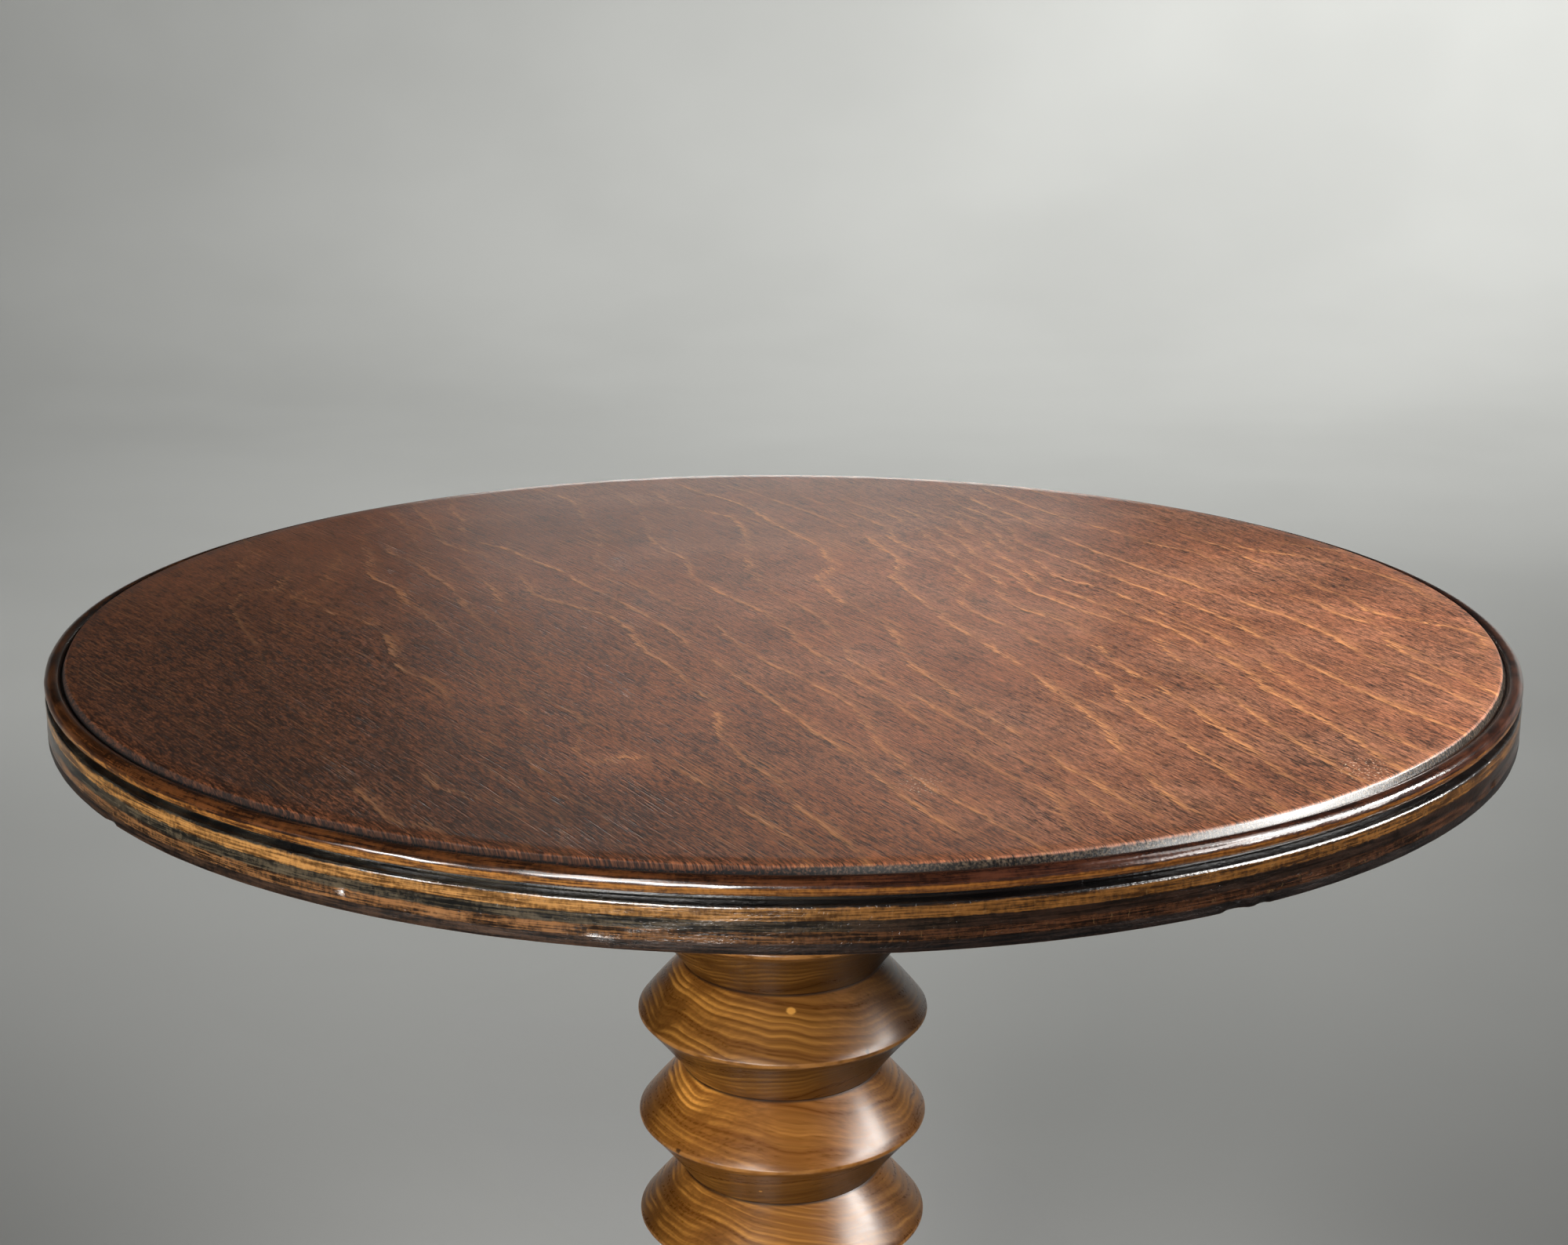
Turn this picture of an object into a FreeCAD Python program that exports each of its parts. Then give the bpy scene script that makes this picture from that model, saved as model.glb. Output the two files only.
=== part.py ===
import FreeCAD, Part
import math
import os

# Pedestal wine table in millimetres, +Z up. The origin is on the floor under the column's axis.
# Leg 1 points to +Y. The table's height is the sum of what stands on what, from the floor up.

Vector = FreeCAD.Vector
UP = Vector(0, 0, 1)

# Plywood top
top_diameter = 500.0
top_thickness = 22.0
ply_count = 7

# Moulding cut round the rim: a bead between a quirk in the face and a groove in the edge
bead_radius = 2.8
bead_drop = 1.3
quirk_angle = 20.0
quirk_width = 0.75
face_round = 1.3
groove_angle = 46.0
groove_height = 2.4
groove_depth = 4.4
band_round = 0.9
underside_round = 0.8

# Bearer block under the top
bearer_diameter = 200.0
bearer_thickness = 22.0
bearer_chamfer = 6.0

# Turned column: ridges and necks down to a plain boss, with a tenon at the top
ridge_radius = 53.1
neck_radius = 36.4
ridge_pitch = 40.8
ridge_count = 10
ridge_lift = 0.9
upper_flank_bulge = 0.4
lower_flank_hollow = 0.35
nose_height = 1.6
nose_inset = 0.2
collar_height = 2.8
boss_height = 102.8
boss_chamfer = 2.0
flat_depth = 6.1
flat_margin = 1.5
tenon_radius = 17.0
tenon_end_gap = 0.5

# Wedge in the tenon's saw kerf
kerf_depth = 16.0
kerf_mouth = 3.0
kerf_floor = 1.2

# Legs, in side view from the boss outwards
leg_count = 3
leg_1_angle = 90.0
leg_thickness = 36.0
leg_reach = 167.0
leg_hip_height = 96.0
leg_boss_rise = 56.0
leg_crown_rise = 20.0
leg_land = 50.0
leg_foot_length = 36.0
leg_toe_height = 25.0
leg_toe_round = 9.0
leg_edge_round = 5.0

# Dowels between the legs and the boss
dowel_radius = 5.0
dowel_length = 60.0
dowel_end_gap = 1.0
dowel_height_shares = (0.37, 0.76)

# Steel strap under the boss and the legs
strap_thickness = 3.0
strap_width = 24.0
strap_hub_radius = 24.0
strap_end_inset = 4.0

# Nailed glides under the feet
glide_radius = 10.0
glide_height = 6.0
glide_round = 2.5
nail_radius = 1.4
nail_length = 14.0

# Countersunk slotted wood screws
bearer_screw_count = 6
bearer_screw_inset = 28.0
bearer_screw_bite = 12.0
bearer_screw_radius = 2.4
bearer_screw_head_radius = 4.8
strap_screw_insets = (13.0, 35.0)
strap_screw_bite = 20.0
strap_screw_radius = 2.0
strap_screw_head_radius = 4.0
screw_slot_width = 1.1
screw_slot_depth_share = 0.45
screw_tip_share = 0.8

# Fits and cuts
glue_gap = 0.1
screw_gap = 0.05
overrun = 5.0

# How far along its corner's diagonal a quarter circle has its middle
quarter_round_share = 1 - math.sqrt(0.5)

# Heights from the floor up, and places that several pieces share
foot_z = glide_height
boss_z = foot_z + leg_boss_rise
boss_top_z = boss_z + boss_height
last_neck_z = boss_top_z + ridge_pitch / 2
shoulder_z = last_neck_z + ridge_count * ridge_pitch + collar_height
underside_z = shoulder_z + bearer_thickness
table_height = underside_z + top_thickness
top_radius = top_diameter / 2
bearer_radius = bearer_diameter / 2
flat_radius = ridge_radius - flat_depth
toe_radius = flat_radius + leg_reach
foot_radius = toe_radius - leg_foot_length / 2
strap_radius = flat_radius + leg_land - strap_end_inset


def polar(radius, degrees):
    angle = math.radians(degrees)
    return radius * math.cos(angle), radius * math.sin(angle)


def upright(r, z):
    # A point of a profile in the XZ plane
    return Vector(r, 0, z)


def line(start, end):
    return Part.LineSegment(start, end).toShape()


def arc(start, middle, end):
    return Part.Arc(start, middle, end).toShape()


def quarter_round(start, corner, end):
    # A quarter circle that takes the place of a square corner
    return arc(start, corner + (start + end - corner * 2) * quarter_round_share, end)


def bowed(start, end, rise):
    # An arc from start to end that stands off its chord by rise, to the left in the XZ plane
    chord = end - start
    left = Vector(-chord.z, 0, chord.x)
    left.normalize()
    return arc(start, (start + end) / 2 + left * rise, end)


def arch(land_end, heel):
    # An arc from the heel up to the land, which it meets level
    across = heel.x - land_end.x
    drop = land_end.z - heel.z
    radius = (across ** 2 + drop ** 2) / (2 * drop)
    centre = upright(land_end.x, land_end.z - radius)
    bisector = (land_end - centre) + (heel - centre)
    bisector.normalize()
    return arc(heel, centre + bisector * radius, land_end)


def face_of(edges):
    return Part.Face(Part.Wire(edges))


def turned(edges):
    return face_of(edges).revolve(Vector(), UP, 360)


def round_bar(radius, length, base, direction=UP):
    return Part.makeCylinder(radius, length, base, direction)


def spun(shape, degrees):
    copy = shape.copy()
    copy.rotate(Vector(), UP, degrees)
    return copy


def leg_angles():
    return [leg_1_angle + number * 360 / leg_count for number in range(leg_count)]


def around_legs(shape):
    # Copies of a shape made along +X, one in the direction of each leg
    return [spun(shape, angle) for angle in leg_angles()]


def top_board():
    bead_r = top_radius - bead_radius
    bead_z = table_height - bead_drop - bead_radius
    inner_x, inner_z = polar(bead_radius, quirk_angle)
    outer_x, outer_z = polar(bead_radius, groove_angle)
    bead_start = upright(bead_r - inner_x, bead_z + inner_z)
    bead_crown = upright(bead_r, bead_z + bead_radius)
    bead_end = upright(bead_r + outer_x, bead_z - outer_z)
    wall_r = bead_start.x - quirk_width
    groove_r = top_radius - groove_depth
    band_z = bead_end.z - groove_height
    axis_low = upright(0, underside_z)
    axis_high = upright(0, table_height)
    face_edge = upright(wall_r - face_round, table_height)
    wall_high = upright(wall_r, table_height - face_round)
    wall_low = upright(wall_r, bead_start.z)
    groove_high = upright(groove_r, bead_end.z)
    groove_low = upright(groove_r, band_z)
    band_high = upright(top_radius - band_round, band_z)
    side_high = upright(top_radius, band_z - band_round)
    side_low = upright(top_radius, underside_z + underside_round)
    under_edge = upright(top_radius - underside_round, underside_z)
    return turned([
        line(axis_low, axis_high),
        line(axis_high, face_edge),
        quarter_round(face_edge, upright(wall_r, table_height), wall_high),
        line(wall_high, wall_low),
        line(wall_low, bead_start),
        arc(bead_start, bead_crown, bead_end),
        line(bead_end, groove_high),
        line(groove_high, groove_low),
        line(groove_low, band_high),
        quarter_round(band_high, upright(top_radius, band_z), side_high),
        line(side_high, side_low),
        quarter_round(side_low, upright(top_radius, underside_z), under_edge),
        line(under_edge, axis_low),
    ])


def top_plies():
    # The board cut into its veneers, numbered from the face down, with the bearer screws' holes
    board = top_board()
    ply_thickness = top_thickness / ply_count
    holes = bearer_screws(screw_gap)
    plies = {}
    for number in range(1, ply_count + 1):
        name = f"top_ply_{number}"
        if number == 1:
            name += "_face"
        if number == ply_count:
            name += "_underside"
        low = Vector(0, 0, table_height - number * ply_thickness)
        slab = round_bar(top_radius + overrun, ply_thickness, low)
        plies[name] = board.common(slab).cut(holes)
    return plies


def screw(length, radius, head_radius, gap):
    # Head up at the origin, tip down -Z. With a gap it is the hole that such a screw needs.
    head_height = head_radius - radius
    shank = radius + gap
    tip = upright(0, -length - gap)
    neck = upright(shank, -head_height - gap)
    rim = upright(head_radius + gap, 0)
    taper = upright(shank, -length + radius / screw_tip_share)
    return turned([
        line(upright(0, 0), rim),
        line(rim, neck),
        line(neck, taper),
        line(taper, tip),
        line(tip, upright(0, 0)),
    ])


def slotted(blank, radius, head_radius):
    depth = (head_radius - radius) * screw_slot_depth_share
    corner = Vector(-head_radius, -screw_slot_width / 2, -depth)
    return blank.cut(Part.makeBox(2 * head_radius, screw_slot_width, 2 * depth, corner))


def screw_from_below(length, radius, head_radius, gap):
    # A screw driven upwards, head in the plane z = 0, or the hole for one when there is a gap
    blank = screw(length, radius, head_radius, gap)
    if not gap:
        blank = slotted(blank, radius, head_radius)
    blank.rotate(Vector(), Vector(1, 0, 0), 180)
    return blank


def bearer_screws(gap=0.0):
    one = screw_from_below(bearer_thickness + bearer_screw_bite, bearer_screw_radius,
                           bearer_screw_head_radius, gap)
    one.translate(Vector(bearer_radius - bearer_screw_inset, 0, shoulder_z))
    step = 360 / bearer_screw_count
    return Part.Compound([spun(one, number * step) for number in range(bearer_screw_count)])


def top_bearer():
    waist_r = bearer_radius - bearer_chamfer
    block = turned([
        line(upright(0, shoulder_z), upright(waist_r, shoulder_z)),
        line(upright(waist_r, shoulder_z), upright(bearer_radius, shoulder_z + bearer_chamfer)),
        line(upright(bearer_radius, shoulder_z + bearer_chamfer), upright(bearer_radius, underside_z)),
        line(upright(bearer_radius, underside_z), upright(0, underside_z)),
        line(upright(0, underside_z), upright(0, shoulder_z)),
    ])
    bore = round_bar(tenon_radius + glue_gap, bearer_thickness + 2 * overrun,
                     Vector(0, 0, shoulder_z - overrun))
    return block.cut(bore).cut(bearer_screws(screw_gap))


def ridge_edges(neck_z):
    # One ridge of the column, from the neck at neck_z up to the next neck
    middle_z = neck_z + ridge_pitch / 2 + ridge_lift
    low_neck = upright(neck_radius, neck_z)
    high_neck = upright(neck_radius, neck_z + ridge_pitch)
    low_nose = upright(ridge_radius - nose_inset, middle_z - nose_height / 2)
    high_nose = upright(ridge_radius - nose_inset, middle_z + nose_height / 2)
    return [
        bowed(low_neck, low_nose, lower_flank_hollow),
        arc(low_nose, upright(ridge_radius, middle_z), high_nose),
        bowed(high_nose, high_neck, -upper_flank_bulge),
    ]


def column_blank():
    tenon_z = underside_z - tenon_end_gap
    nose = upright(ridge_radius - nose_inset, boss_top_z + nose_height / 2)
    last_neck = upright(neck_radius, last_neck_z)
    collar = upright(neck_radius, shoulder_z)
    first_neck = upright(neck_radius, shoulder_z - collar_height)
    edges = [
        line(upright(0, boss_z), upright(ridge_radius - boss_chamfer, boss_z)),
        line(upright(ridge_radius - boss_chamfer, boss_z), upright(ridge_radius, boss_z + boss_chamfer)),
        line(upright(ridge_radius, boss_z + boss_chamfer), upright(ridge_radius, boss_top_z)),
        line(upright(ridge_radius, boss_top_z), nose),
        bowed(nose, last_neck, -upper_flank_bulge),
    ]
    for number in range(ridge_count):
        edges += ridge_edges(last_neck_z + number * ridge_pitch)
    edges += [
        line(first_neck, collar),
        line(collar, upright(tenon_radius, shoulder_z)),
        line(upright(tenon_radius, shoulder_z), upright(tenon_radius, tenon_z)),
        line(upright(tenon_radius, tenon_z), upright(0, tenon_z)),
        line(upright(0, tenon_z), upright(0, boss_z)),
    ]
    return turned(edges)


def leg_flats():
    height = leg_hip_height + flat_margin + overrun
    corner = Vector(flat_radius, -ridge_radius, boss_z - overrun)
    return Part.Compound(around_legs(Part.makeBox(ridge_radius, 2 * ridge_radius, height, corner)))


def kerf(gap):
    # A tapered slot down into the tenon, or the wedge that fills it with a gap on both sides
    tenon_z = underside_z - tenon_end_gap
    floor_z = tenon_z - kerf_depth + gap
    mouth = kerf_mouth / 2 - gap
    floor = kerf_floor / 2 - gap
    end = tenon_radius - gap
    corners = [
        Vector(-floor, -end, floor_z),
        Vector(floor, -end, floor_z),
        Vector(mouth, -end, tenon_z),
        Vector(-mouth, -end, tenon_z),
        Vector(-floor, -end, floor_z),
    ]
    prism = Part.Face(Part.makePolygon(corners)).extrude(Vector(0, 2 * end, 0))
    tenon = round_bar(end, bearer_thickness, Vector(0, 0, shoulder_z))
    return prism.common(tenon)


def column():
    turning = column_blank().cut(leg_flats()).cut(kerf(0.0))
    return turning.cut(leg_dowels(glue_gap)).cut(strap_screws(screw_gap))


def leg_dowels(gap=0.0):
    # Two dowels per leg, half in the boss and half in the leg, or their holes when there is a gap
    end_gap = dowel_end_gap if gap else 0.0
    length = dowel_length + 2 * end_gap
    dowels = []
    for share in dowel_height_shares:
        base = Vector(flat_radius - length / 2, 0, boss_z + share * leg_hip_height)
        dowels += around_legs(round_bar(dowel_radius + gap, length, base, Vector(1, 0, 0)))
    return Part.Compound(dowels)


def leg_blank():
    hip_low = upright(flat_radius, boss_z)
    hip_high = upright(flat_radius, boss_z + leg_hip_height)
    toe_high = upright(toe_radius, foot_z + leg_toe_height)
    toe_low = upright(toe_radius, foot_z)
    heel = upright(toe_radius - leg_foot_length, foot_z)
    land_end = upright(flat_radius + leg_land, boss_z)
    side = face_of([
        line(hip_low, hip_high),
        bowed(hip_high, toe_high, leg_crown_rise),
        line(toe_high, toe_low),
        line(toe_low, heel),
        arch(land_end, heel),
        line(land_end, hip_low),
    ])
    side.translate(Vector(0, -leg_thickness / 2, 0))
    return side.extrude(Vector(0, leg_thickness, 0))


def is_toe_edge(edge):
    # True for the edge across the leg at the top of its toe
    toe_top = upright(toe_radius, foot_z + leg_toe_height)
    return (edge.CenterOfMass - toe_top).Length < leg_toe_round


def is_long_edge(edge):
    # True for an edge of a flat side that is neither under the foot nor against the boss
    box = edge.BoundBox
    on_side = abs(edge.CenterOfMass.y) > leg_thickness / 2 - leg_edge_round
    return on_side and box.ZMax > foot_z + leg_edge_round and box.XMax > flat_radius + leg_edge_round


def rounded_leg():
    blank = leg_blank()
    blank = blank.makeFillet(leg_toe_round, [edge for edge in blank.Edges if is_toe_edge(edge)])
    return blank.makeFillet(leg_edge_round, [edge for edge in blank.Edges if is_long_edge(edge)])


def legs():
    nail_hole = round_bar(nail_radius + screw_gap, nail_length + screw_gap, Vector(foot_radius, 0, foot_z))
    shaped = rounded_leg().cut(nail_hole)
    holes = leg_dowels(glue_gap)
    screw_holes = strap_screws(screw_gap)
    pieces = {}
    for number, leg in enumerate(around_legs(shaped), start=1):
        pieces[f"leg_{number}"] = leg.cut(holes).cut(screw_holes)
    return pieces


def strap_screw_places():
    places = [Vector()]
    for angle in leg_angles():
        for inset in strap_screw_insets:
            x, y = polar(flat_radius + inset, angle)
            places.append(Vector(x, y, 0))
    return places


def strap_screws(gap=0.0):
    one = screw_from_below(strap_thickness + strap_screw_bite, strap_screw_radius,
                           strap_screw_head_radius, gap)
    one.translate(Vector(0, 0, boss_z - strap_thickness))
    screws = []
    for place in strap_screw_places():
        copy = one.copy()
        copy.translate(place)
        screws.append(copy)
    return Part.Compound(screws)


def tripod_strap():
    low_z = boss_z - strap_thickness
    arm_length = strap_radius - strap_width / 2
    arm = Part.makeBox(arm_length, strap_width, strap_thickness, Vector(0, -strap_width / 2, low_z))
    tip = round_bar(strap_width / 2, strap_thickness, Vector(arm_length, 0, low_z))
    hub = round_bar(strap_hub_radius, strap_thickness, Vector(0, 0, low_z))
    plate = hub.fuse(around_legs(arm.fuse(tip))).removeSplitter()
    return plate.cut(strap_screws(screw_gap))


def foot_glides():
    flat_edge = upright(glide_radius - glide_round, 0)
    side_low = upright(glide_radius, glide_round)
    side_high = upright(glide_radius, glide_height)
    nail_foot = upright(nail_radius, glide_height)
    nail_shoulder = upright(nail_radius, glide_height + nail_length - 2 * nail_radius)
    nail_tip = upright(0, glide_height + nail_length)
    glide = turned([
        line(upright(0, 0), flat_edge),
        quarter_round(flat_edge, upright(glide_radius, 0), side_low),
        line(side_low, side_high),
        line(side_high, nail_foot),
        line(nail_foot, nail_shoulder),
        line(nail_shoulder, nail_tip),
        line(nail_tip, upright(0, 0)),
    ])
    glide.translate(Vector(foot_radius, 0, 0))
    return {f"foot_glide_{number}": copy for number, copy in enumerate(around_legs(glide), start=1)}


def table():
    nodes = top_plies()
    nodes["top_bearer"] = top_bearer()
    nodes["bearer_screws"] = bearer_screws()
    nodes["column"] = column()
    nodes["column_tenon_wedge"] = kerf(screw_gap)
    nodes.update(legs())
    nodes["leg_dowels"] = leg_dowels()
    nodes["tripod_strap"] = tripod_strap()
    nodes["strap_screws"] = strap_screws()
    nodes.update(foot_glides())
    return nodes


os.makedirs("parts", exist_ok=True)
for node, shape in table().items():
    shape.exportStep(f"parts/{node}.step")
    print(node, len(shape.Solids), "solids", round(shape.Volume), "mm3, valid:", shape.isValid())
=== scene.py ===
import math

import bmesh
import bpy
import numpy as np
from mathutils import Matrix, Vector


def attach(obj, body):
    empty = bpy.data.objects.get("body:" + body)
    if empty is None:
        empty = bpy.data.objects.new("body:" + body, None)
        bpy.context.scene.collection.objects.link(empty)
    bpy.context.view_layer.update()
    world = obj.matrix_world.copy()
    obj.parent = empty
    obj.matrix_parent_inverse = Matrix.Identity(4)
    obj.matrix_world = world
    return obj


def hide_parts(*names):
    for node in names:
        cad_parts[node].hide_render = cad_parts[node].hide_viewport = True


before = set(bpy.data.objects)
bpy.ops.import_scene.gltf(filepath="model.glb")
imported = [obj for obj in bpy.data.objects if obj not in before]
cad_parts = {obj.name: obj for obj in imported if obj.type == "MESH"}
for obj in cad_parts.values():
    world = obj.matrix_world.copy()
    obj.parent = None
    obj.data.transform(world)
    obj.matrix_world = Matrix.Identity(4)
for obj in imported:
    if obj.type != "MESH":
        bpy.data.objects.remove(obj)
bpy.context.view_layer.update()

# Sizes are in millimetres and become metres when a mesh is made
MM = 0.001

# Top board
TOP_Z = 640.0
TOP_RADIUS = 250.0
TOP_THICKNESS = 22.0
PLY_COUNT = 7
PLY_THICKNESS = TOP_THICKNESS / PLY_COUNT
UNDERSIDE_Z = TOP_Z - TOP_THICKNESS
BEAD_RADIUS = 2.8
BEAD_DROP = 1.3
QUIRK_ANGLE = 20.0
QUIRK_WIDTH = 0.75
QUIRK_SLOPE = 0.5
QUIRK_FLOOR = 0.1
FACE_EDGE_RADIUS = 1.6
FACE_EDGE_HIGH = 72.0
FACE_EDGE_LOW = 34.0
GROOVE_ANGLE = 46.0
GROOVE_HEIGHT = 2.4
GROOVE_DEPTH = 4.4
GROOVE_CORNER = 0.3
BAND_ROUND = 0.9
UNDERSIDE_ROUND = 0.8
RIM_SEGMENTS = 1080
FACE_SPACING = 5.0
CORE_SPACING = 40.0
# Radii over which the stain of the face ends and the bead begins
FACE_END = (243.0, 243.4)
BEAD_START = (244.0, 244.5)
# Unevenness of the rim: height, waves round, and twist for each millimetre down
RIM_WAVES = ((0.035, 7, 0.4), (0.03, 17, -0.7), (0.025, 41, 1.3), (0.02, 97, 2.1))
WORN_WIDTH = 10.0

# Bearer under the top
SHOULDER_Z = 596.0
BEARER_RADIUS = 100.0
BEARER_CHAMFER = 6.0
BEARER_EDGE = 0.8
BEARER_RING = 60.0

# Column
RIDGE_RADIUS = 53.1
NECK_RADIUS = 36.4
RIDGE_PITCH = 40.8
RIDGE_COUNT = 10
RIDGE_LIFT = 0.9
UPPER_FLANK_BULGE = 0.4
LOWER_FLANK_HOLLOW = 0.35
NOSE_HEIGHT = 1.6
NOSE_INSET = 0.2
BOSS_Z = 62.0
BOSS_TOP_Z = 164.8
BOSS_CHAMFER = 2.0
LAST_NECK_Z = BOSS_TOP_Z + RIDGE_PITCH / 2
TENON_RADIUS = 17.0
BORE_RADIUS = TENON_RADIUS + 0.1
TENON_Z = UNDERSIDE_Z - 0.5
FLAT_RADIUS = 47.0
FLAT_TOP_Z = 159.5
COLUMN_SEGMENTS = 264

# Legs
LEG_ANGLES = (90.0, 210.0, 330.0)
LEG_THICKNESS = 36.0
FOOT_Z = 6.0
TOE_RADIUS = 214.0
HEEL_RADIUS = 178.0
LAND_RADIUS = 97.0
HIP_Z = 158.0
TOE_Z = 31.0
CROWN_RISE = 20.0
TOE_ROUND = 9.0
TOE_START = (3.0, -3.4)
TOE_BULGE = 2.6
LEG_EDGE_ROUND = 5.0
LEG_GRAIN = (0.795, 0.606)

# Floor with its cove
FLOOR_RADIUS = 4000.0
FLOOR_RINGS = (900, 2400, 3900)
FLOOR_SEGMENTS = 96
COVE_RADIUS = 2600.0
WALL_HEIGHT = 4200.0
WALL_FADE_FROM = 1000.0
WALL_FADE_TO = 1900.0

# Lights: name, place, target, width, height, power, colour, spread in degrees, only in reflections
WARM = (1.0, 0.98, 0.95)
WHITE = (1.0, 1.0, 0.965)
LIGHTS = (
    ("key", (0.62, -0.21, 0.97), (0.05, 0.0, 0.62), 0.20, 0.24, 2.4, WARM, 100.0, False),
    ("left", (-0.90, -0.80, 0.79), (0.0, 0.0, 0.60), 0.22, 0.22, 1.2, WARM, 80.0, False),
    ("front", (-0.30, -1.33, 0.77), (0.0, 0.0, 0.50), 0.30, 0.45, 1.9, WARM, 60.0, False),
    ("strip", (-0.49, -1.09, 1.08), (-0.07, -0.24, 0.637), 0.3, 0.6, 8.5, WARM, 120.0, True),
    ("edge", (0.62, -0.14, 1.25), (0.14, -0.20, 0.637), 0.34, 0.30, 1.2, WARM, 110.0, True),
    ("shine", (0.83, -0.37, 0.90), (0.15, -0.20, 0.637), 0.60, 0.30, 5.6, WARM, 110.0, True),
    ("sheen", (0.72, 0.01, 0.92), (0.03, -0.03, 0.46), 0.14, 0.14, 2.2, WARM, 100.0, True),
    ("back", (0.0, 1.3, 0.46), (0.0, 0.0, 0.34), 0.6, 0.5, 1.6, WARM, 46.0, False),
    ("wall", (2.0, 1.6, 4.2), (1.6, 6.4, 1.1), 1.6, 1.6, 98.0, WHITE, 94.0, False),
    ("floor", (-1.0, 1.6, 3.2), (-1.0, 4.4, 0.0), 2.0, 2.0, 15.0, WHITE, 100.0, False),
    ("low", (0.3, 1.3, 2.6), (0.0, 2.4, 0.0), 1.5, 1.5, 12.0, WHITE, 90.0, False),
)
WORLD_STRENGTH = 0.03

# Camera of the photograph's view, for an image of 2000 by 1588
CAMERA_PLACE = (0.0, -0.8155, 0.8604)
CAMERA_TILT = 74.715
CAMERA_ROLL = 0.0034
CAMERA_LENS = 55.084

# Along the fibres of the face veneer, in plan
GRAIN = np.array((0.5, -0.866))
ACROSS = np.array((0.866, 0.5))
GRAIN_BEND = 0.00048

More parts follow.
